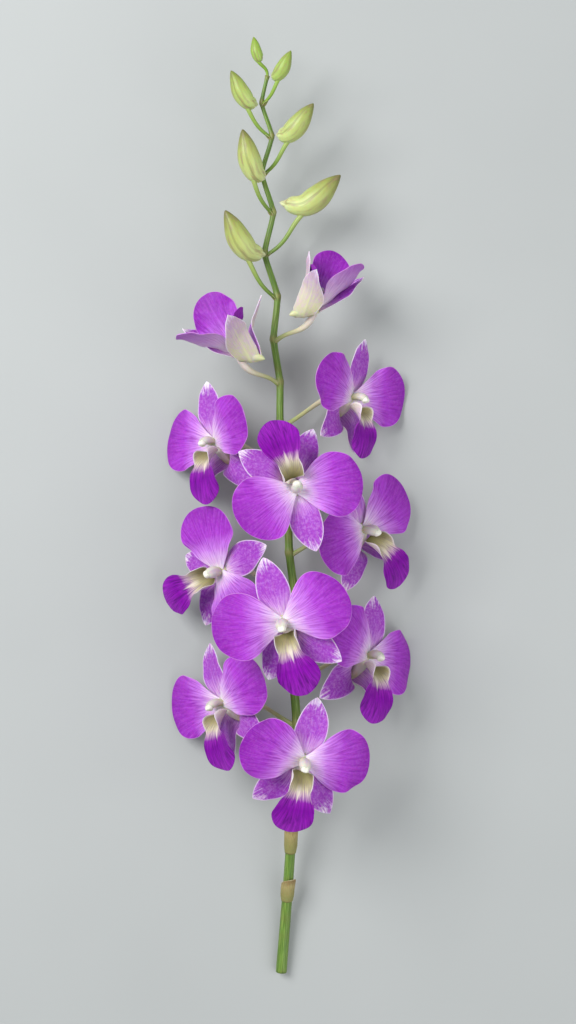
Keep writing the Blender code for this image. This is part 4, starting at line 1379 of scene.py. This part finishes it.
# %% Column and anther cap
COLUMN_LINE = [[0, 0.3, -1], [0, 0.6, 2.5], [0, 0.9, 5.2], [0, 0.3, 8], [0, -1.2, 9.9]]
CAP_LINE = [[0, 0.3, 7.6], [0, -0.3, 8.9], [0, -1.3, 9.9], [0, -2.0, 10.2]]
COLUMN_LINE, CAP_LINE = np.array(COLUMN_LINE) * MM, np.array(CAP_LINE) * MM
COLUMN_RADII = np.array([1.9, 2.2, 2.7, 2.7, 1.7]) * MM
CAP_RADII = np.array([1.1, 1.9, 1.8, 0.8]) * MM
COLUMN_SIDES, COLUMN_END, CAP_END, SHUT_THINNING = 28, 0.1, 0.2, 0.4
FACING_LIP, FACING_AWAY = 1.5 * math.pi, 0.5 * math.pi
HOLLOW, FLAT_BACK, NOTCH = (0.4, 0.7), (0.2, 0.9), (0.2, 0.3)  # depth share, width in radians


def dent(middle, depth, width):
    """A bell curve round the ring, as deep as this share of the radius at the middle angle."""
    away = (ring_angles(COLUMN_SIDES) - middle + math.pi) % (2 * math.pi) - math.pi
    return depth * np.exp(-((away / width) ** 2))


def flower_column(opening):
    """A round sleeve with a hollow on the side that faces the lip and flattened on its back, and
    the cap as a second sleeve on its end, with a notch in its front."""
    thin = 1 - SHUT_THINNING * (1 - opening)
    shape = 1 - dent(FACING_LIP, *HOLLOW) - dent(FACING_AWAY, *FLAT_BACK)
    notch = 1 - dent(FACING_LIP, *NOTCH)
    pillar = COLUMN_LINE, COLUMN_RADII * thin, COLUMN_SIDES, COLUMN_END
    cap = CAP_LINE, CAP_RADII * thin, COLUMN_SIDES, CAP_END
    return [smooth_round(*pillar, shape=shape), smooth_round(*cap, finish=1, shape=notch)]


widest = [round(2 * radii.max() / MM, 1) for radii in (COLUMN_RADII, CAP_RADII)]
print("a column and its cap are", widest, "mm wide")

# %% [markdown]
# A stalk springs from its node, sloping towards the tip of the stem, and bends to meet its flower
# from behind. One cubic curve with two handles draws it, as in a drawing program.

# %% Where a stalk stands, and its line
SEAT_GAP, STALK_ROOT = 0.3 * MM, 2.2 * MM
TIPWARDS = np.array([0, 0.55, 0])


def seat(node_point, direction, distance, radius):
    """Where a stalk of this radius stands on the stem on this side, and the way that it leaves,
    sloping towards the stem's tip."""
    flat = unit(np.array([direction[0], 0, direction[2]]))
    leave = unit(flat + TIPWARDS)
    reach = stem_radius(distance) + NODE_SWELLING + SEAT_GAP + radius * leave[1]
    return node_point + flat * reach, leave


def stalk_line(foot, leave, end, arrive, grip, count):
    """One cubic curve that leaves and arrives along these directions, with handles of length
    grip, and a short straight run added at its foot, so that it is rooted in the stem."""
    t = np.linspace(0, 1, count)[:, None]
    second, third = foot + grip * leave, end - grip * arrive
    towards_end = 3 * (1 - t) ** 2 * t * second + 3 * (1 - t) * t**2 * third + t**3 * end
    curve = (1 - t) ** 3 * foot + towards_end
    return np.concatenate([foot - leave * STALK_ROOT * np.array([[1], [0.5]]), curve])


print(f"stalks are rooted {(STALK_ROOT - SEAT_GAP) / MM:.1f} mm deep, knots included")

# %% A flower's stalk
STALK_FOOT_RADIUS, STALK_SIDES, STALK_STEPS, STALK_GRIP = 1.1 * MM, 18, 30, 0.4
INTO_CHIN = np.array([[1.2], [2.6]]) * MM
SLIM, FOOT_SWELLING, OVARY_SWELLING = 1.05, 0.25, 0.65  # in mm
# Where along the stalk it swells, as shares of its length, and its ribs.
FOOT_WIDTH, OVARY_START, OVARY_LENGTH, OVARY_POWER = 0.08, 0.35, 0.5, 1.5
OVARY_RIBS, RIB_DEPTH, RIBS_START, RIBS_RISE = 6, 0.05, 0.4, 3


def flower_stalk(index, back, arrive):
    """The stalk swells at its foot by a bell curve and towards the flower into the ovary, which
    has six soft ribs, and ends inside the chin."""
    foot, leave = seat(PLACES[index], back - PLACES[index], NODES[index], STALK_FOOT_RADIUS)
    grip = STALK_GRIP * np.linalg.norm(back - foot)
    path = stalk_line(foot, leave, back, arrive, grip, STALK_STEPS)
    path = np.concatenate([path, back + arrive * INTO_CHIN])
    u = np.linspace(0, 1, len(path))
    ovary = OVARY_SWELLING * np.clip((u - OVARY_START) / OVARY_LENGTH, 0, 1) ** OVARY_POWER
    radii = (SLIM + FOOT_SWELLING * np.exp(-((u / FOOT_WIDTH) ** 2)) + ovary) * MM
    ribbed = np.clip((u - RIBS_START) * RIBS_RISE, 0, 1)[:, None]
    ribs = 1 + RIB_DEPTH * np.cos(OVARY_RIBS * ring_angles(STALK_SIDES))[None] * ribbed
    return round_sleeve(path, radii, STALK_SIDES, shape=ribs)


ovary_width = 2 * (SLIM + OVARY_SWELLING)
print(f"a stalk is {2 * SLIM} mm thick, and its ovary {ovary_width:.1f} mm")

# %% [markdown]
# Each flower is worked out in its own frame, face up, and its points are then turned, scaled and
# carried to its place. Objects could be moved instead, but a piece stands for a solid whose own
# place is in its mesh, so the points move. It has four pieces, as it has four solids.

# %% Eleven flowers


def moved(sleeves, centre, size, matrix):
    """Every point p becomes centre + size p, turned by the matrix."""
    return [{**s, "points": centre + size * s["points"] @ matrix.T} for s in sleeves]


def make_flower(index, facts):
    """The petals with the sepals and the chin, the lip, the column with its cap, and the stalk,
    each made as a piece with its own skins, which hides the solid that it stands for."""
    name, opening, size = f"flower_{index + 1:02d}", facts["open"], facts["size"]
    matrix = turned(facts["nod"], facts["lean"], facts["roll"])
    centre = PLACES[index] + np.array(facts["offset"]) * MM
    put = lambda sleeves: moved(sleeves, centre, size, matrix)
    stalk = flower_stalk(index, centre + size * matrix @ BACK, matrix[:, 2])
    face_skins = [petal_skin, sepal_skin, chin_skin]
    parts = (
        ("tepals", "petals", put(flower_tepals(index, opening)), face_skins),
        ("lip", "lip_skin", put([flower_lip(index, opening)]), [lip_skin]),
        ("column", "column_skin", put(flower_column(opening)), [column_skin, cap_skin]),
        ("stalk", "stalk_skin", [stalk], [stalk_skin]),
    )
    return [
        make_piece(f"{name}_{ending}", sleeves, skins, f"{name}_{part}")
        for part, ending, sleeves, skins in parts
    ]


flowers = [make_flower(index, facts) for index, facts in enumerate(FLOWERS)]
print(len(flowers), "flowers of", sum(len(p.data.polygons) for p in flowers[0]), "squares each")

# %% [markdown]
# ## Buds
#
# A bud is a bent drop. Its chin, which will be the flower's, points back at the stem and ends in a
# small beak. Three seams show where the sepals will part. The buds get smaller and greener towards
# the tip. One line and one row of radii, scaled for each bud, keep them of a kind.

# %% A bud's drop
BEAK_LINE = [[0, 12.2, -3.4], [0, 7.8, -0.8], [0, 3.2, 3]]
BODY_LINE = [[0, 1.2, 9.4], [0, 0.8, 16.4], [0, 0.2, 23.4]]
BUD_LINE = np.array(BEAK_LINE + BODY_LINE) * MM
BUD_STATIONS = np.array([0, 0.05, 0.1, 0.15, 0.2, 0.28, 0.4, 0.56, 0.72, 0.86, 0.96, 1.0])
BUD_RADII = np.array([0.7, 1.2, 1.75, 3.0, 3.7, 4.25, 5.0, 5.6, 4.8, 3.1, 1.3, 0.35]) * MM
BUD_SIDES, SEAM_DEPTH, BEAK_END, TIP_END = 36, 0.05, 0.07, 0.012


def bud_drop(chin, youth):
    """The drop in its own frame: radii along its bent line, whose first two points lie nearer for
    a short chin, pinched where cos 3a is above 5/6 as a seam."""
    t = SMOOTH_STEPS
    line = BUD_LINE.copy()
    line[:2] = line[2] + chin * (line[:2] - line[2])
    line = through(np.linspace(0, 1, len(line)), line, t)
    seams = 1 - SEAM_DEPTH * np.clip(np.cos(3 * ring_angles(BUD_SIDES)) * 6 - 5, 0, 1)
    radii = through(BUD_STATIONS, BUD_RADII, t) * blunt(t, BEAK_END) * blunt(1 - t, TIP_END)
    return round_sleeve(line, radii, BUD_SIDES, youth, shape=seams)


print("a full bud's drop is", np.ptp(bud_drop(1, 0)["points"], axis=0).round(4) / MM, "mm")

# %% Seven buds
BUD_STALK_RADII, BUD_STALK_SIDES, BUD_STALK_STEPS = (0.85 * MM, 1.25 * MM), 16, 26
BUD_STALK_END, BUD_GRIP = np.array([0, 0.6, 3.6]) * MM, 0.45
THIN, THICKENING = 0.6, 0.4  # a stalk's thickness is 0.6 + 0.4 times its bud's size
BUD_AWAY, BENT_IN, YOUTH = 0.62, 0.2, 1.5
ALONG = np.array([0, 1.0, 0])


def make_bud(index, facts):
    """A drop on a stalk that is one cubic curve from the stem. The smaller the bud, the younger.
    The last one ends the stem, so its stalk leaves along it."""
    number, reach, size = len(FLOWERS) + index, facts["reach"] * MM, facts["size"]
    outward, lean = stalk_side(number), math.radians(facts["lean"])
    axis = math.cos(lean) * ALONG + math.sin(lean) * outward
    to_stem = math.sin(lean) * ALONG - math.cos(lean) * outward
    axes = np.stack([np.cross(to_stem, axis), to_stem, axis], axis=1)
    foot, leave = seat(PLACES[number], outward, NODES[number], BUD_STALK_RADII[0])
    if facts is BUDS[-1]:
        foot, leave = PLACES[number] + ALONG * SEAT_GAP, ALONG
    base = foot + reach * (BUD_AWAY * outward + BUD_AWAY * ALONG)
    youth = YOUTH * max(0, 1 - size)
    drop = moved([bud_drop(facts["chin"], youth)], base, size, axes)
    inside, arrive = base + size * (axes @ BUD_STALK_END), unit(axis - BENT_IN * to_stem)
    path = stalk_line(foot, leave, inside, arrive, BUD_GRIP * reach, BUD_STALK_STEPS)
    radii = np.linspace(*BUD_STALK_RADII, len(path)) * (THIN + THICKENING * size)
    stalk = round_sleeve(path, radii, BUD_STALK_SIDES, youth, 1)
    name = f"bud_{index + 1:02d}"
    return make_piece(name + "_skin", [*drop, stalk], [bud_skin, bud_stalk_skin], name)


buds = [make_bud(index, facts) for index, facts in enumerate(BUDS)]
print(len(buds), "buds of", len(buds[0].data.polygons), "squares each")

# %% [markdown]
# ## Surface, light and camera
#
# The stem lies on a plain pale table painted with matt paint, so it throws back soft light and no
# reflection. The paint is faintly clouded, in patches about 0.1 m wide. One square face would do
# for a box of a room too, but a table alone keeps the light even.

# %% Table finish: matt pale grey paint
TABLE_REACH = 8  # in metres, so that its edge is far away in side views
CLOUDS_PER_METRE = 9.0
PALE_GREYS = [(0.3, "#AFB2B1"), (0.7, "#B2B5B4")]

table_finish, shader = new_material("table finish", roughness=0.85)
spot = add_node(table_finish, "TexCoord", output=3)
cloud = {"Vector": spot, "Scale": CLOUDS_PER_METRE, "Detail": 2.0}
cloud = add_node(table_finish, "TexNoise", cloud)
feed(shader, {"Base Color": add_node(table_finish, "ValToRGB", {0: cloud}, stops=PALE_GREYS)})

table_mesh = bpy.data.meshes.new("table")
corners = [(x * TABLE_REACH, y * TABLE_REACH, 0) for x, y in ((-1, -1), (1, -1), (1, 1), (-1, 1))]
table_mesh.from_pydata(corners, [], [(0, 1, 2, 3)])
table_mesh.materials.append(table_finish)
table_top = bpy.data.objects.new("table", table_mesh)
bpy.context.scene.collection.objects.link(table_top)
table_top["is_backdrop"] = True
print("the table is", 2 * TABLE_REACH, "m wide")

# %% [markdown]
# The light is that of a pale room by day. A small lamp would give hard shadows. A wide one up to
# the left stands for a large window, a second, weaker one fills the shadows, and the room itself
# gives an even glow.

# %% Light
LAMPS = (  # name, place and width in metres, and power in watts
    ("window light", (-0.7, 0.45, 0.95), 0.7, 15.5),
    ("fill light", (0.8, -0.3, 1.0), 1.2, 8),
)
ROOM_LIGHT, ROOM_COLOUR = 0.5, "#DDE2E6"


def add_lamp(name, place, width, watts):
    """A square soft lamp of this width that faces the middle of the stem."""
    lamp = bpy.data.lights.new(name, "AREA")
    lamp.size, lamp.energy = width, watts
    holder = bpy.data.objects.new(name, lamp)
    bpy.context.scene.collection.objects.link(holder)
    x, y, z = holder.location = place
    holder.rotation_euler = (math.atan2(math.hypot(x, y), z), 0, math.atan2(y, x) + math.pi / 2)
    return holder


lamps = [add_lamp(*facts) for facts in LAMPS]
world = bpy.data.worlds.new("soft room")
world.use_nodes = True
glow = {"Color": linear(ROOM_COLOUR), "Strength": ROOM_LIGHT}
feed(world.node_tree.nodes["Background"], glow)
bpy.context.scene.world = world
bpy.context.scene.view_settings.view_transform = "Standard"
print([f"{lamp.name} {lamp.data.energy:.1f} W" for lamp in lamps])

# %% [markdown]
# The camera looks straight down, as one looks at a stem that has been laid on a table. A short
# lens close by would bend the stem's ends away, so it stands well back with a longer one.

# %% Camera
LENS, CAMERA_HEIGHT = 60, 0.86  # in mm and metres
camera = bpy.data.objects.new("camera", bpy.data.cameras.new("camera"))
bpy.context.scene.collection.objects.link(camera)
camera.data.lens = LENS
camera.location = (0, 0, CAMERA_HEIGHT)
bpy.context.scene.camera = camera
print(f"the camera looks down from {CAMERA_HEIGHT} m")

# %% Measure and finish
fine_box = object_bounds()
low, high = (tuple(round(c, 4) for c in corner) for corner in fine_box)
print("fine surfaces from", low, "to", high)
